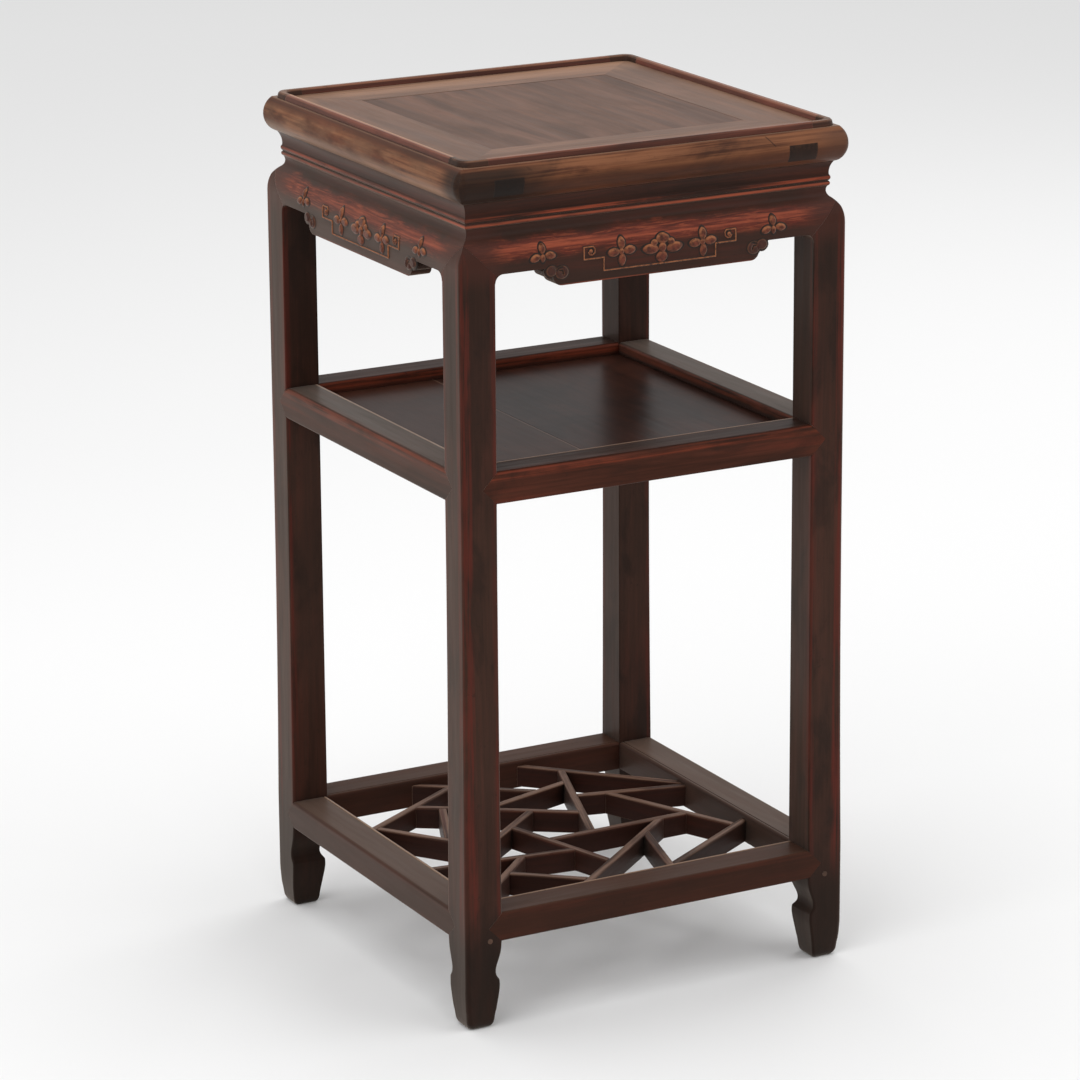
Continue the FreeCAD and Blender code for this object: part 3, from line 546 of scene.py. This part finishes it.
def stained_corner(tree, spot, colour):
    """The darkened front left corner of the rounded edge, and the duller front right one."""
    front = times(tree, ramp(tree, spot.x, *STAIN_X), ramp(tree, spot.y, *OUTER_EDGE))
    left = times(tree, ramp(tree, spot.y, *STAIN_Y), ramp(tree, spot.x, *OUTER_EDGE))
    right = times(tree, ramp(tree, spot.x, *DULL_CORNER_X), ramp(tree, spot.y, *DULL_CORNER_Y))
    edge = ramp(tree, spot.z, *STAINED_EDGE)
    stain = maths(tree, "MAXIMUM", front, times(tree, left, 0.9))
    colour = tint(tree, colour, "stained_corner", stain, edge, 0.9)
    return tint(tree, colour, "dull_corner", right, edge, 0.6)


def old_crack(tree, spot, colour):
    """A short dark crack that slants down the front edge beside the right tenon."""
    lean = times(tree, maths(tree, "SUBTRACT", spot.z, CRACK_LEVEL), CRACK_LEAN)
    crack = band(tree, maths(tree, "ADD", spot.x, lean), *CRACK_X)
    part = band(tree, spot.z, *CRACK_Z)
    return tint(tree, colour, "crack", crack, part, ramp(tree, spot.y, *CRACK_Y), 0.8)


def rail_lines(tree, spot, colour):
    """Dark lower rails with paler tops, dark tops on the middle rails, and a pale line that is rubbed wear
    and a painted highlight.

    The line runs by the inner edge of the front and left rails.
    """
    middle_top = ramp(tree, spot.z, *MIDDLE_RAIL_FACE)
    lower_top = times(tree, ramp(tree, spot.z, *LOWER_RAIL_FACE), ramp(tree, spot.z, *OVER_LOWER_RAIL))
    tops = maths(tree, "MAXIMUM", middle_top, lower_top)
    rubbed = band(tree, spot.out, *RAIL_LINE)
    near = ramp(tree, maths(tree, "ADD", spot.x, spot.y), MITRE_FADE, -MITRE_FADE)
    colour = tint(tree, colour, "lower_rail", ramp(tree, spot.z, *LOWER_RAILS), 0.65)
    colour = tint(tree, colour, "middle_rail_top", middle_top, 0.6)
    colour = tint(tree, colour, "lower_rail_top", lower_top, 0.3)
    # The pale line: rubbed wear and a painted highlight
    return tint(tree, colour, "rail_wear_and_highlight_line", rubbed, tops, near, 0.6)


ZONE_COLOURS = {
    ("top_frame", "x"): (top_face, stained_corner, old_crack, tenon_end),
    ("top_frame", "y"): (top_face, side_patches_and_sheen, stained_corner, tenon_end),
    ("lip", "x"): (crest_line,), ("lip", "y"): (crest_line,),
    ("rail", "x"): (rail_lines,), ("side_rail", "y"): (rail_lines,),
}


# The wood itself


def wood_marks(tree, moved, run):
    """The noises of a piece of wood, with its grain along one axis."""
    return {
        "flame": noise(tree, moved, stretch(run, 3.2, 48.0), 6.0, 0.62, 0.8),
        "fibre": noise(tree, moved, stretch(run, 10.0, 420.0), 4.0, 0.6),
        "streak": noise(tree, moved, stretch(run, 7.0, 300.0), 3.0, 0.6),
        "pores": noise(tree, moved, stretch(run, 38.0, 1500.0), 2.0, 0.5),
        "patch": noise(tree, moved, stretch(run, 9.0, 26.0), 6.0, 0.65, 0.5),
        "spots": noise(tree, moved, (160.0, 160.0, 160.0), 3.0, 0.6),
        "waves": noise(tree, moved, stretch(run, 6.0, 45.0), 2.0, 0.5),
    }


def stained_wood(tree, style, marks, grain):
    """Dark and mid grain, rubbed red in streaks, with the old lacquer left in patches."""
    colour = mix(tree, ramp(tree, grain, 0.32, 0.68), linear(*style["dark"]), linear(*style["mid"]))
    flames = ramp(tree, marks["flame"], 0.46, 0.76)
    streaks = ramp(tree, marks["streak"], 0.36, 0.60)
    colour = mix(tree, times(tree, flames, streaks, style["red_share"]), colour, linear(*style["red"]))
    kept = times(tree, ramp(tree, marks["patch"], 0.46, 0.70), style["lacquer_share"])
    return mix(tree, kept, colour, linear(*style["lacquer"]))


def worn_wood(tree, style, marks, zone, colour):
    """The worn colour over a worn zone, uneven like the stain."""
    cover = maths(tree, "ADD", times(tree, marks["patch"], 0.4), times(tree, marks["streak"], 0.6))
    return mix(tree, times(tree, zone, ramp(tree, cover, 0.60, 0.40)), colour, linear(*style["worn"]))


def edge_tone(tree, style, round_normal, colour):
    """Another tone on the sharp edges, where the rounded normal leaves the true one."""
    flat_normal = add(tree, "ShaderNodeNewGeometry").outputs["Normal"]
    facing = add(
        tree, "ShaderNodeVectorMath", {0: flat_normal, 1: round_normal}, operation="DOT_PRODUCT")
    edge = times(tree, ramp(tree, facing.outputs["Value"], 0.985, 0.80), style["edge_share"])
    return mix(tree, edge, colour, linear(*style["edge"]))


def small_marks(tree, style, marks, colour):
    """Dents that hold old lacquer, and dark pores."""
    dents = times(tree, ramp(tree, marks["spots"], 0.66, 0.74), 0.4)
    colour = mix(tree, dents, colour, linear(*style["lacquer"]))
    pore_lines = times(tree, ramp(tree, marks["pores"], 0.56, 0.70), 0.25)
    return mix(tree, pore_lines, colour, linear(*style["dark"]))


def paint_corner_shade(tree, style, colour):
    """Painted shade where other surfaces are close, found by ambient occlusion."""
    open_share = add(tree, "ShaderNodeAmbientOcclusion", {"Distance": CORNER_SHADE_REACH}, samples=4).outputs["AO"]
    return tint(tree, colour, "corner_shade", ramp(tree, open_share, 0.75, 0.25), style["corner_shade"])


def wood_roughness(tree, style, marks):
    """Roughness that changes with the fibres and the patches of lacquer."""
    change = maths(tree, "ADD", times(tree, marks["fibre"], 0.5), times(tree, marks["patch"], 0.5))
    return spread(tree, change, *style["rough"])


def wood_normal(tree, style, marks, round_normal):
    """Rounded edges, the slow waves of a hand-worked face, and on them fibres and pores."""
    waved = add(tree, "ShaderNodeBump", {
        "Height": marks["waves"], "Strength": style["waves"], "Distance": WAVE_DEPTH, "Normal": round_normal,
    }).outputs["Normal"]
    relief = maths(tree, "ADD", times(tree, marks["fibre"], 0.6), times(tree, marks["pores"], 0.4))
    return add(tree, "ShaderNodeBump", {
        "Height": relief, "Strength": style["relief"], "Distance": FIBRE_DEPTH, "Normal": waved,
    }).outputs["Normal"]


def end_material(tree, colour, rough, normal, gloss, sheen):
    """The shader and the output that end a wood material."""
    surface = add(tree, "ShaderNodeBsdfPrincipled", {
        "Base Color": colour, "Roughness": rough, "Normal": normal, "Specular IOR Level": gloss,
        "Sheen Weight": sheen, "Sheen Roughness": SHEEN_ROUGHNESS, "Sheen Tint": SHEEN_TINT,
    })
    add(tree, "ShaderNodeOutputMaterial", {"Surface": surface.outputs[0]})


def wood(style_name, axis):
    """A waxed old wood finish with its grain along one axis ("bar" follows each lattice bar)."""
    style = {**COMMON, **STYLES[style_name]}
    material, tree = new_material("%s_wood_%s" % (style_name, axis))
    coords, moved = piece_coords(tree)
    if axis == "bar":
        moved = bar_coords(tree, moved)
    marks = wood_marks(tree, moved, "x" if axis == "bar" else axis)
    grain = maths(tree, "ADD", times(tree, marks["flame"], 0.65), times(tree, marks["fibre"], 0.35))
    spot = Place(tree, coords, grain)
    round_normal = add(
        tree, "ShaderNodeBevel", {"Radius": style["edge_radius"]}, samples=4).outputs["Normal"]

    colour = stained_wood(tree, style, marks, grain)
    if style_name in TONES:
        colour = TONES[style_name](tree, spot, colour)
    if style_name in WEAR_ZONES:
        colour = worn_wood(tree, style, marks, WEAR_ZONES[style_name](tree, spot), colour)
    for zone_colour in ZONE_COLOURS.get((style_name, axis), ()):
        colour = zone_colour(tree, spot, colour)
    colour = edge_tone(tree, style, round_normal, colour)
    colour = small_marks(tree, style, marks, colour)
    # Painted shade in corners
    colour = paint_corner_shade(tree, style, colour)

    rough = wood_roughness(tree, style, marks)
    normal = wood_normal(tree, style, marks, round_normal)
    end_material(tree, colour, rough, normal, style["gloss"], style["sheen"])
    return material


def carving_wood():
    """The carving: golden on its lines and rims, most on the upper rims as a painted highlight, red inside
    the petals, with painted shade in the outlines round the shapes.
    """
    material, tree = new_material("carving_wood")
    moved = piece_coords(tree)[1]
    tones = add(tree, "ShaderNodeAttribute", attribute_name="tones").outputs["Color"]
    raised, gold, dim = add(tree, "ShaderNodeSeparateColor", {"Color": tones}).outputs
    mottle = noise(tree, moved, (260.0, 260.0, 260.0), 4.0, 0.6)
    fibre = noise(tree, moved, (40.0, 700.0, 700.0), 3.0, 0.6)
    petal = mix(tree, ramp(tree, mottle, 0.35, 0.65), painted("petal_dark"), painted("petal_red"))
    shape = tint(tree, petal, "carved_cloud", dim)
    # Where the raised tone is low, in the outlines, the colour is painted shade
    colour = mix(tree, ramp(tree, raised, 0.25, 0.75), painted("carving_outline_shade"), shape)
    colour = tint(tree, colour, "carving_gold", gold, ramp(tree, mottle, 0.25, 0.55))
    colour = tint(tree, colour, "carving_fibre", ramp(tree, fibre, 0.55, 0.7), 0.35)
    bump = add(tree, "ShaderNodeBump", {
        "Height": mottle, "Strength": CARVING_RELIEF, "Distance": MOTTLE_DEPTH,
    })
    rough = spread(tree, mottle, *CARVING_ROUGH)
    end_material(tree, colour, rough, bump.outputs["Normal"], CARVING_GLOSS, CARVING_SHEEN)
    return material


# Which finish and grain each piece has

STYLE_BY_PREFIX = {
    "leg": "leg", "top_frame": "top_frame", "top_panel": "top_panel", "top_batten": "hidden",
    "lip_corner": "lip_corner", "lip": "lip", "waist": "waist", "apron": "apron",
    "middle_rail": "rail", "lower_rail": "rail", "middle_board": "shelf", "middle_batten": "hidden",
    "lattice_bar": "lattice", "rail_pegs": "peg",
}


def style_of(node_name):
    """The finish of a node, by the longest name that it starts with."""
    fitting = [prefix for prefix in STYLE_BY_PREFIX if node_name.startswith(prefix)]
    style = STYLE_BY_PREFIX[max(fitting, key=len)]
    if style == "rail" and grain_axis(node_name) == "y":
        return "side_rail"
    return style


def grain_axis(node_name):
    """The way the grain runs in a node."""
    if node_name.startswith("leg"):
        return "z"
    if node_name.startswith("lattice"):
        return "bar"
    if node_name.startswith(("top_panel", "middle_board", "rail_pegs")):
        return "y"
    if node_name.endswith(("left", "right")) and not node_name.startswith("lip_corner"):
        return "y"
    return "x"


def bar_turn(mesh):
    """The angle about Z of a bar's long axis."""
    spots = np.array([vertex.co for vertex in mesh.vertices])[:, :2]
    spots -= spots.mean(axis=0)
    axes = np.linalg.eigh(spots.T @ spots)[1]
    return math.atan2(axes[1, 1], axes[0, 1])


def dress_solids():
    """Gives every solid its finish."""
    finishes = {}
    for name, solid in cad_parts.items():
        key = (style_of(name), grain_axis(name))
        if key not in finishes:
            finishes[key] = wood(*key)
        if key[1] == "bar":
            solid["grain_turn"] = bar_turn(solid.data)
        solid.data.materials.clear()
        solid.data.materials.append(finishes[key])


# Carving on the aprons, drawn on the front one in millimetres: x along the apron, z up

# The grid, the heights over the apron's face, and the widths of outlines and lines
CELL = 0.4
CARVING_X = (-136.0, 140.0)
CARVING_Z = (689.0, 735.0)
PROUD = 1.9
GROUND = 0.05
BURIED = -0.6
BURIED_MARGIN = 0.01
BACK = -1.4
OUTLINE_WIDTH = 0.9
OUTLINE_SOFT = 0.5
LINE_HALF = 0.75
LINE_STEEPNESS = 1.7
SCORE_HALF = 0.45
EDGE_INSET = 0.5

# Depths inside a shape between which its crest rises, and between which its tones come in
CARVED_RISE = (-0.3, 2.2)
RAISED_TONE = (-0.2, 0.8)
LINE_RIM = (0.0, 0.6)
PETAL_RIM = (0.1, 0.7)
PETAL_INSIDE = (1.2, 2.8)
CLOUD_RIM = (-0.1, 0.3)
CLOUD_INSIDE = (0.6, 1.2)

# Shares of gold on the lines, the clouds' rims and the petals, and how dim the clouds are
LINE_GOLD = 0.55
CLOUD_GOLD = 0.12
CLOUD_DIM = 0.8
PETAL_GOLD = 0.24
# PETAL_GOLD_ABOVE and RIM_SHARE_ABOVE add a painted highlight high on the apron and on the petals' upper rims
PETAL_GOLD_ABOVE = 0.36
PETAL_GOLD_LOST = 0.1
PETAL_GOLD_Z = (710.0, 722.0)
PETAL_GOLD_X = (90.0, 105.0)
RIM_FADE = 0.85
RIM_SHARE = 0.45
RIM_SHARE_ABOVE = 0.9

# The apron's outline, with its lobes as middles and half sizes, and the ends of its shoulder's curve,
# each as distance out and height
PENDANT_HALF = 97.3
PENDANT_FOOT = 690.7
APRON_FOOT = 707.6
INNER_LOBE = ((PENDANT_HALF, 699.1), (8.4, 8.4))
OUTER_LOBE = ((108.7, 704.2), (6.1, 6.1))
SHOULDER_FOOT = (199.0, 715.5)
SHOULDER_TOP = (187.2, 738.7)

# Petals: offset from the flower's middle, half sizes, turn in degrees. Powers below 2 point their ends.
PETAL_POWER = 1.8
SMALL_FLOWER = (
    ((0.3, 7.4), (4.1, 6.0), 0),
    ((0.6, -7.6), (4.0, 6.2), 0),
    ((-8.0, -0.2), (6.6, 4.3), 0),
    ((8.2, 0.6), (6.6, 4.3), 0),
    ((0.0, 0.0), (2.9, 3.4), 0),
)
OUTER_FLOWER = (
    ((0.0, 6.2), (3.7, 5.0), 0),
    ((-7.4, -1.6), (5.8, 3.7), 18),
    ((7.6, -0.4), (5.8, 3.7), -8),
    ((0.0, -2.2), (2.8, 4.2), 0),
)
MIDDLE_FLOWER = (
    ((0.6, 8.2), (7.2, 5.0), 0),
    ((-0.8, -8.4), (6.2, 5.4), 0),
    ((-12.2, -0.4), (8.8, 4.9), -6),
    ((-8.4, 4.8), (4.2, 3.4), 20),
    ((12.4, -0.8), (8.8, 4.9), 6),
    ((9.0, 4.6), (4.2, 3.4), -20),
    ((0.0, 0.0), (4.2, 5.0), 0),
)
FLOWERS = (
    ((-116.5, 719.6), OUTER_FLOWER),
    ((-37.0, 714.8), SMALL_FLOWER),
    ((5.0, 713.8), MIDDLE_FLOWER),
    ((46.6, 714.2), SMALL_FLOWER),
    ((120.8, 719.0), OUTER_FLOWER),
)

# The frame line under the flowers: its steps and ends, its low and high level, and the hooks on its ends
FRAME_STEPS = (-55.0, 60.0)
FRAME_ENDS = (-75.0, 81.0)
FRAME_FOOT = 699.4
FRAME_LEVEL = 711.4
HOOK_WIDTH = 9.4
HOOK_RISE = 10.8
CURL_POINTS = ((HOOK_WIDTH, HOOK_RISE), (11.2, 8.4), (10.8, 5.2), (8.4, 3.4), (5.6, 3.8), (4.4, 5.8))
BUD = ((6.9, 6.6), 2.3)

# The clouds at the pendant's right end, how far each side's are moved in x, and the scored spiral
INNER_CLOUD = ((98.5, 702.6), (6.8, 6.2))
OUTER_CLOUD = ((108.2, 704.8), (5.6, 5.0))
OUTER_CLOUD_SHIFT = 0.4
CLOUD_SHIFTS = ((-1, 1.0), (1, 1.5))
SPIRAL_POINTS = ((-1.4, -1.6), (-0.6, 1.6), (2.4, 1.8))


def smooth(value, start, end):
    """A smooth step from 0 to 1."""
    share = np.clip((value - start) / (end - start), 0, 1)
    return share * share * (3 - 2 * share)


def join(*shapes):
    """The union of several shapes."""
    return np.maximum.reduce(shapes)


def oval(x, z, middle, half, turn=0.0, power=2.0):
    """How far inside an oval each spot is, roughly in millimetres."""
    angle = math.radians(turn)
    dx = x - middle[0]
    dz = z - middle[1]
    along = (dx * math.cos(angle) + dz * math.sin(angle)) / half[0]
    across = (dz * math.cos(angle) - dx * math.sin(angle)) / half[1]
    reach = (np.abs(along) ** power + np.abs(across) ** power) ** (1 / power)
    return (1 - reach) * min(half)


def distance(x, z, points):
    """Distance of each spot from a line through points."""
    nearest = np.full(x.shape, np.inf)
    for (x0, z0), (x1, z1) in zip(points, points[1:]):
        length = (x1 - x0) ** 2 + (z1 - z0) ** 2
        share = np.clip(((x - x0) * (x1 - x0) + (z - z0) * (z1 - z0)) / length, 0, 1)
        away = np.hypot(x - x0 - share * (x1 - x0), z - z0 - share * (z1 - z0))
        nearest = np.minimum(nearest, away)
    return nearest


def line(x, z, points):
    """How far inside a thin raised line each spot is."""
    return (LINE_HALF - distance(x, z, points)) * LINE_STEEPNESS


def scored(depth, x, z, points):
    """A shape with a fine line scored into it."""
    return np.where(depth > 0, np.minimum(depth, distance(x, z, points) - SCORE_HALF), depth)


def flower(x, z, middle, petals):
    """Plump petals round a middle."""
    cx, cz = middle
    return join(*[
        oval(x, z, (cx + dx, cz + dz), half, turn, PETAL_POWER) for (dx, dz), half, turn in petals
    ])


def frame_line(x, z):
    """The thin line that runs under the flowers and ends in two square hooks."""
    left_end, right_end = FRAME_ENDS
    left_step, right_step = FRAME_STEPS
    hook_top = FRAME_LEVEL + HOOK_RISE
    return line(x, z, [
        (left_end + HOOK_WIDTH, hook_top), (left_end, hook_top), (left_end, FRAME_LEVEL),
        (left_step, FRAME_LEVEL), (left_step, FRAME_FOOT), (right_step, FRAME_FOOT),
        (right_step, FRAME_LEVEL), (right_end, FRAME_LEVEL), (right_end, hook_top),
        (right_end - HOOK_WIDTH, hook_top),
    ])


def curl(x, z, end, side):
    """The curl inside a square hook, which runs on from its upper side round a small bud."""
    turn = line(x, z, [(end - side * dx, FRAME_LEVEL + dz) for dx, dz in CURL_POINTS])
    (dx, dz), radius = BUD
    return join(turn, oval(x, z, (end - side * dx, FRAME_LEVEL + dz), (radius, radius)))


def cloud(x, z, side, shift):
    """The curled cloud lobes at one end of the pendant."""
    (inner_x, inner_z), inner_half = INNER_CLOUD
    (outer_x, outer_z), outer_half = OUTER_CLOUD
    cx = side * inner_x + shift
    spiral = [(cx + side * dx, inner_z + dz) for dx, dz in SPIRAL_POINTS]
    return join(
        scored(oval(x, z, (cx, inner_z), inner_half), x, z, spiral),
        oval(x, z, (side * outer_x + shift * OUTER_CLOUD_SHIFT, outer_z), outer_half),
    )


def apron_inside(x, z):
    """How far inside the apron's outline each spot is."""
    across = np.abs(x)
    return join(
        np.minimum(PENDANT_HALF - across, z - PENDANT_FOOT),
        oval(across, z, *INNER_LOBE),
        oval(across, z, *OUTER_LOBE),
        z - APRON_FOOT,
    )


def petal_gold_and_highlight(x, z, flowers):
    """Share of gold on the petals' rims as wear, with more on their upper sides and high on the apron as a
    painted highlight.
    """
    share = PETAL_GOLD + PETAL_GOLD_ABOVE * smooth(z, *PETAL_GOLD_Z)
    share = share - PETAL_GOLD_LOST * smooth(np.abs(x), *PETAL_GOLD_X)
    upper_side = np.clip(-np.gradient(flowers, CELL, axis=1), 0, 1)
    rim = smooth(flowers, *PETAL_RIM) * (1 - RIM_FADE * smooth(flowers, *PETAL_INSIDE))
    return share * (RIM_SHARE + RIM_SHARE_ABOVE * upper_side) * rim


def carving_depth(x, z):
    """How far inside the carving each spot is, negative on the plain ground, and its two tones.

    The tones are the share of gold and how far the clouds are dimmed. The curls are toned like flowers.
    """
    lines = frame_line(x, z)
    flowers = join(
        *[curl(x, z, end, side) for end, side in zip(FRAME_ENDS, (-1, 1))],
        *[flower(x, z, middle, petals) for middle, petals in FLOWERS],
    )
    clouds = join(*[cloud(x, z, side, shift) for side, shift in CLOUD_SHIFTS])
    cloud_rim = smooth(clouds, *CLOUD_RIM) * (1 - smooth(clouds, *CLOUD_INSIDE))
    gold = join(LINE_GOLD * smooth(lines, *LINE_RIM), petal_gold_and_highlight(x, z, flowers), CLOUD_GOLD * cloud_rim)
    dim = np.where(clouds > join(lines, flowers), CLOUD_DIM, 0.0)
    depth = np.minimum(join(lines, flowers, clouds), apron_inside(x, z) - EDGE_INSET)
    return depth, gold, dim


def carving_height(depth):
    """Height over the apron's face: buried, then a narrow outline that the carving's material paints dark as
    shade, then a rounded crest.
    """
    rim = BURIED + (GROUND - BURIED) * smooth(depth, -OUTLINE_WIDTH - OUTLINE_SOFT, -OUTLINE_WIDTH)
    return rim + (PROUD - GROUND) * smooth(depth, *CARVED_RISE)


def shoulder_radius():
    """Radius of the apron's rounded shoulder."""
    setback = SHOULDER_FOOT[0] - SHOULDER_TOP[0]
    rise = SHOULDER_TOP[1] - SHOULDER_FOOT[1]
    return (setback ** 2 + rise ** 2) / (2 * setback)


def on_face(x, z, height):
    """Spots in metres at a height over the front apron's face, which curves back above its shoulder line."""
    radius = shoulder_radius()
    face, foot = SHOULDER_FOOT
    rise = np.maximum(z - foot, 0)
    level = np.sqrt(radius ** 2 - rise ** 2)
    out = face - radius + level + height * level / radius
    up = z + height * rise / radius
    return np.stack([x, -out, up], axis=-1) / 1000


def carved_cells(height):
    """The grid cells that the carving covers, and the grid corners that they use."""
    used = height > BURIED + BURIED_MARGIN
    cells = used[:-1, :-1] | used[1:, :-1] | used[:-1, 1:] | used[1:, 1:]
    corners = np.zeros(height.shape, bool)
    for di in (0, 1):
        for dj in (0, 1):
            corners[di:di + cells.shape[0], dj:dj + cells.shape[1]] |= cells
    return cells, corners


def shell_faces(cells, corners):
    """Faces of a closed shell over the cells: its front, its back, and walls where the cells end."""
    count = int(corners.sum())
    number = np.full(corners.shape, -1)
    number[corners] = np.arange(count)
    padded = np.pad(cells, 1)
    faces = []
    for i, j in np.argwhere(cells):
        ring = [int(number[i + di, j + dj]) for di, dj in ((0, 0), (1, 0), (1, 1), (0, 1))]
        faces.append(ring)
        faces.append([count + spot for spot in reversed(ring)])
        beside = [padded[i + 1, j], padded[i + 2, j + 1], padded[i + 1, j + 2], padded[i, j + 1]]
        for side in range(4):
            if not beside[side]:
                a, b = ring[side], ring[(side + 1) % 4]
                faces.append([a, count + a, count + b, b])
    return faces


def carving_mesh():
    """A closed thin shell of the carving, sunk in the apron so that only the raised parts show."""
    x, z = np.meshgrid(np.arange(*CARVING_X, CELL), np.arange(*CARVING_Z, CELL), indexing="ij")
    depth, gold, dim = carving_depth(x, z)
    height = carving_height(depth)
    cells, corners = carved_cells(height)
    front = on_face(x[corners], z[corners], height[corners])
    count = len(front)
    back = on_face(x[corners], z[corners], np.full(count, BACK))

    mesh = bpy.data.meshes.new("carving")
    mesh.from_pydata(np.concatenate([front, back]).tolist(), [], shell_faces(cells, corners))
    tones = np.zeros((2 * count, 4))
    tones[:count, 0] = smooth(depth[corners], *RAISED_TONE)
    tones[:count, 1] = gold[corners]
    tones[:count, 2] = dim[corners]
    layer = mesh.color_attributes.new("tones", "FLOAT_COLOR", "POINT")
    layer.data.foreach_set("color", tones.ravel())
    mesh.polygons.foreach_set("use_smooth", np.ones(len(mesh.polygons), bool))
    mesh.update()
    return mesh


def add_carving():
    """The same carving on all four aprons."""
    mesh = carving_mesh()
    mesh.materials.append(carving_wood())
    for quarter, side in enumerate(("front", "right", "back", "left")):
        piece = bpy.data.objects.new("carving_" + side, mesh)
        bpy.context.scene.collection.objects.link(piece)
        piece.matrix_world = Matrix.Rotation(math.radians(90 * quarter), 4, "Z")
        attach(piece, "root")


# Studio

# The floor's side, its greys near the stand and far from it, and the distances between which it changes
FLOOR_SIZE = 40.0
FLOOR_NEAR = (0.86, 0.86, 0.86, 1.0)
FLOOR_FAR = (0.95, 0.95, 0.95, 1.0)
FLOOR_FADE = (1.8, 5.0)

# The room's even light, and the point that the lamps face
ROOM_COLOUR = (1.0, 1.0, 1.0, 1.0)
ROOM_LIGHT = 0.74
LAMP_AIM = (0.0, 0.0, 0.45)

# Each softbox: its place, the length of its sides, its watts
SOFTBOXES = {
    "softbox_left": ((-2.4, -1.2, 2.4), 2.4, 26),
    "softbox_right": ((2.2, -2.0, 2.6), 2.4, 22),
    "softbox_above": ((-0.2, 0.4, 3.0), 2.6, 24),
    "softbox_back": ((2.6, 1.6, 2.6), 2.0, 20),
}


def floor_paper():
    """Pale paper, a little brighter far from the stand."""
    material, tree = new_material("floor_paper")
    coords = add(tree, "ShaderNodeTexCoord").outputs["Object"]
    away = add(tree, "ShaderNodeVectorMath", {0: coords}, operation="LENGTH").outputs["Value"]
    shade = add(tree, "ShaderNodeMapRange", {
        "Value": away, "From Min": FLOOR_FADE[0], "From Max": FLOOR_FADE[1],
    }).outputs["Result"]
    colour = mix(tree, shade, FLOOR_NEAR, FLOOR_FAR)
    surface = add(tree, "ShaderNodeBsdfDiffuse", {"Color": colour})
    add(tree, "ShaderNodeOutputMaterial", {"Surface": surface.outputs[0]})
    return material


def add_floor():
    """A wide pale floor."""
    half = FLOOR_SIZE / 2
    mesh = bpy.data.meshes.new("floor")
    corners = [(-half, -half, 0), (half, -half, 0), (half, half, 0), (-half, half, 0)]
    mesh.from_pydata(corners, [], [(0, 1, 2, 3)])
    mesh.materials.append(floor_paper())
    floor = bpy.data.objects.new("floor", mesh)
    bpy.context.scene.collection.objects.link(floor)


def add_lamp(name, place, size, watts):
    """A square softbox that looks at the middle of the stand."""
    data = bpy.data.lights.new(name, "AREA")
    data.shape = "SQUARE"
    data.size = size
    data.energy = watts
    lamp = bpy.data.objects.new(name, data)
    bpy.context.scene.collection.objects.link(lamp)
    lamp.location = place
    lamp.rotation_euler = (Vector(LAMP_AIM) - Vector(place)).to_track_quat("-Z", "Y").to_euler()


def add_light():
    """An even room and softboxes above, at the left, at the front right and at the back right."""
    world = bpy.data.worlds.new("room")
    bpy.context.scene.world = world
    world.use_nodes = True
    room = world.node_tree.nodes["Background"]
    room.inputs["Color"].default_value = ROOM_COLOUR
    room.inputs["Strength"].default_value = ROOM_LIGHT
    for name, (place, size, watts) in SOFTBOXES.items():
        add_lamp(name, place, size, watts)


def add_camera():
    """The photograph's camera, set by its angles, distance and principal point."""
    flat = math.cos(ELEVATION)
    back = Vector((math.sin(AZIMUTH) * flat, -math.cos(AZIMUTH) * flat, math.sin(ELEVATION)))
    level = Vector((math.cos(AZIMUTH), math.sin(AZIMUTH), 0.0))
    upright = back.cross(level)
    right = level * math.cos(ROLL) + upright * math.sin(ROLL)
    up = upright * math.cos(ROLL) - level * math.sin(ROLL)
    data = bpy.data.cameras.new("camera")
    data.sensor_width = SENSOR
    data.lens = SENSOR * FOCAL_PIXELS / PHOTO_SIZE
    data.shift_x = (PHOTO_SIZE / 2 - PRINCIPAL_POINT[0]) / PHOTO_SIZE
    data.shift_y = (PRINCIPAL_POINT[1] - PHOTO_SIZE / 2) / PHOTO_SIZE
    data.clip_end = CLIP_END
    camera = bpy.data.objects.new("camera", data)
    bpy.context.scene.collection.objects.link(camera)
    pose = Matrix((right, up, back)).transposed().to_4x4()
    pose.translation = Vector((0.0, 0.0, TARGET_HEIGHT)) + back * DISTANCE
    camera.matrix_world = pose
    bpy.context.scene.camera = camera


bpy.context.scene.view_settings.view_transform = "Standard"
dress_solids()
add_carving()
add_floor()
add_light()
add_camera()
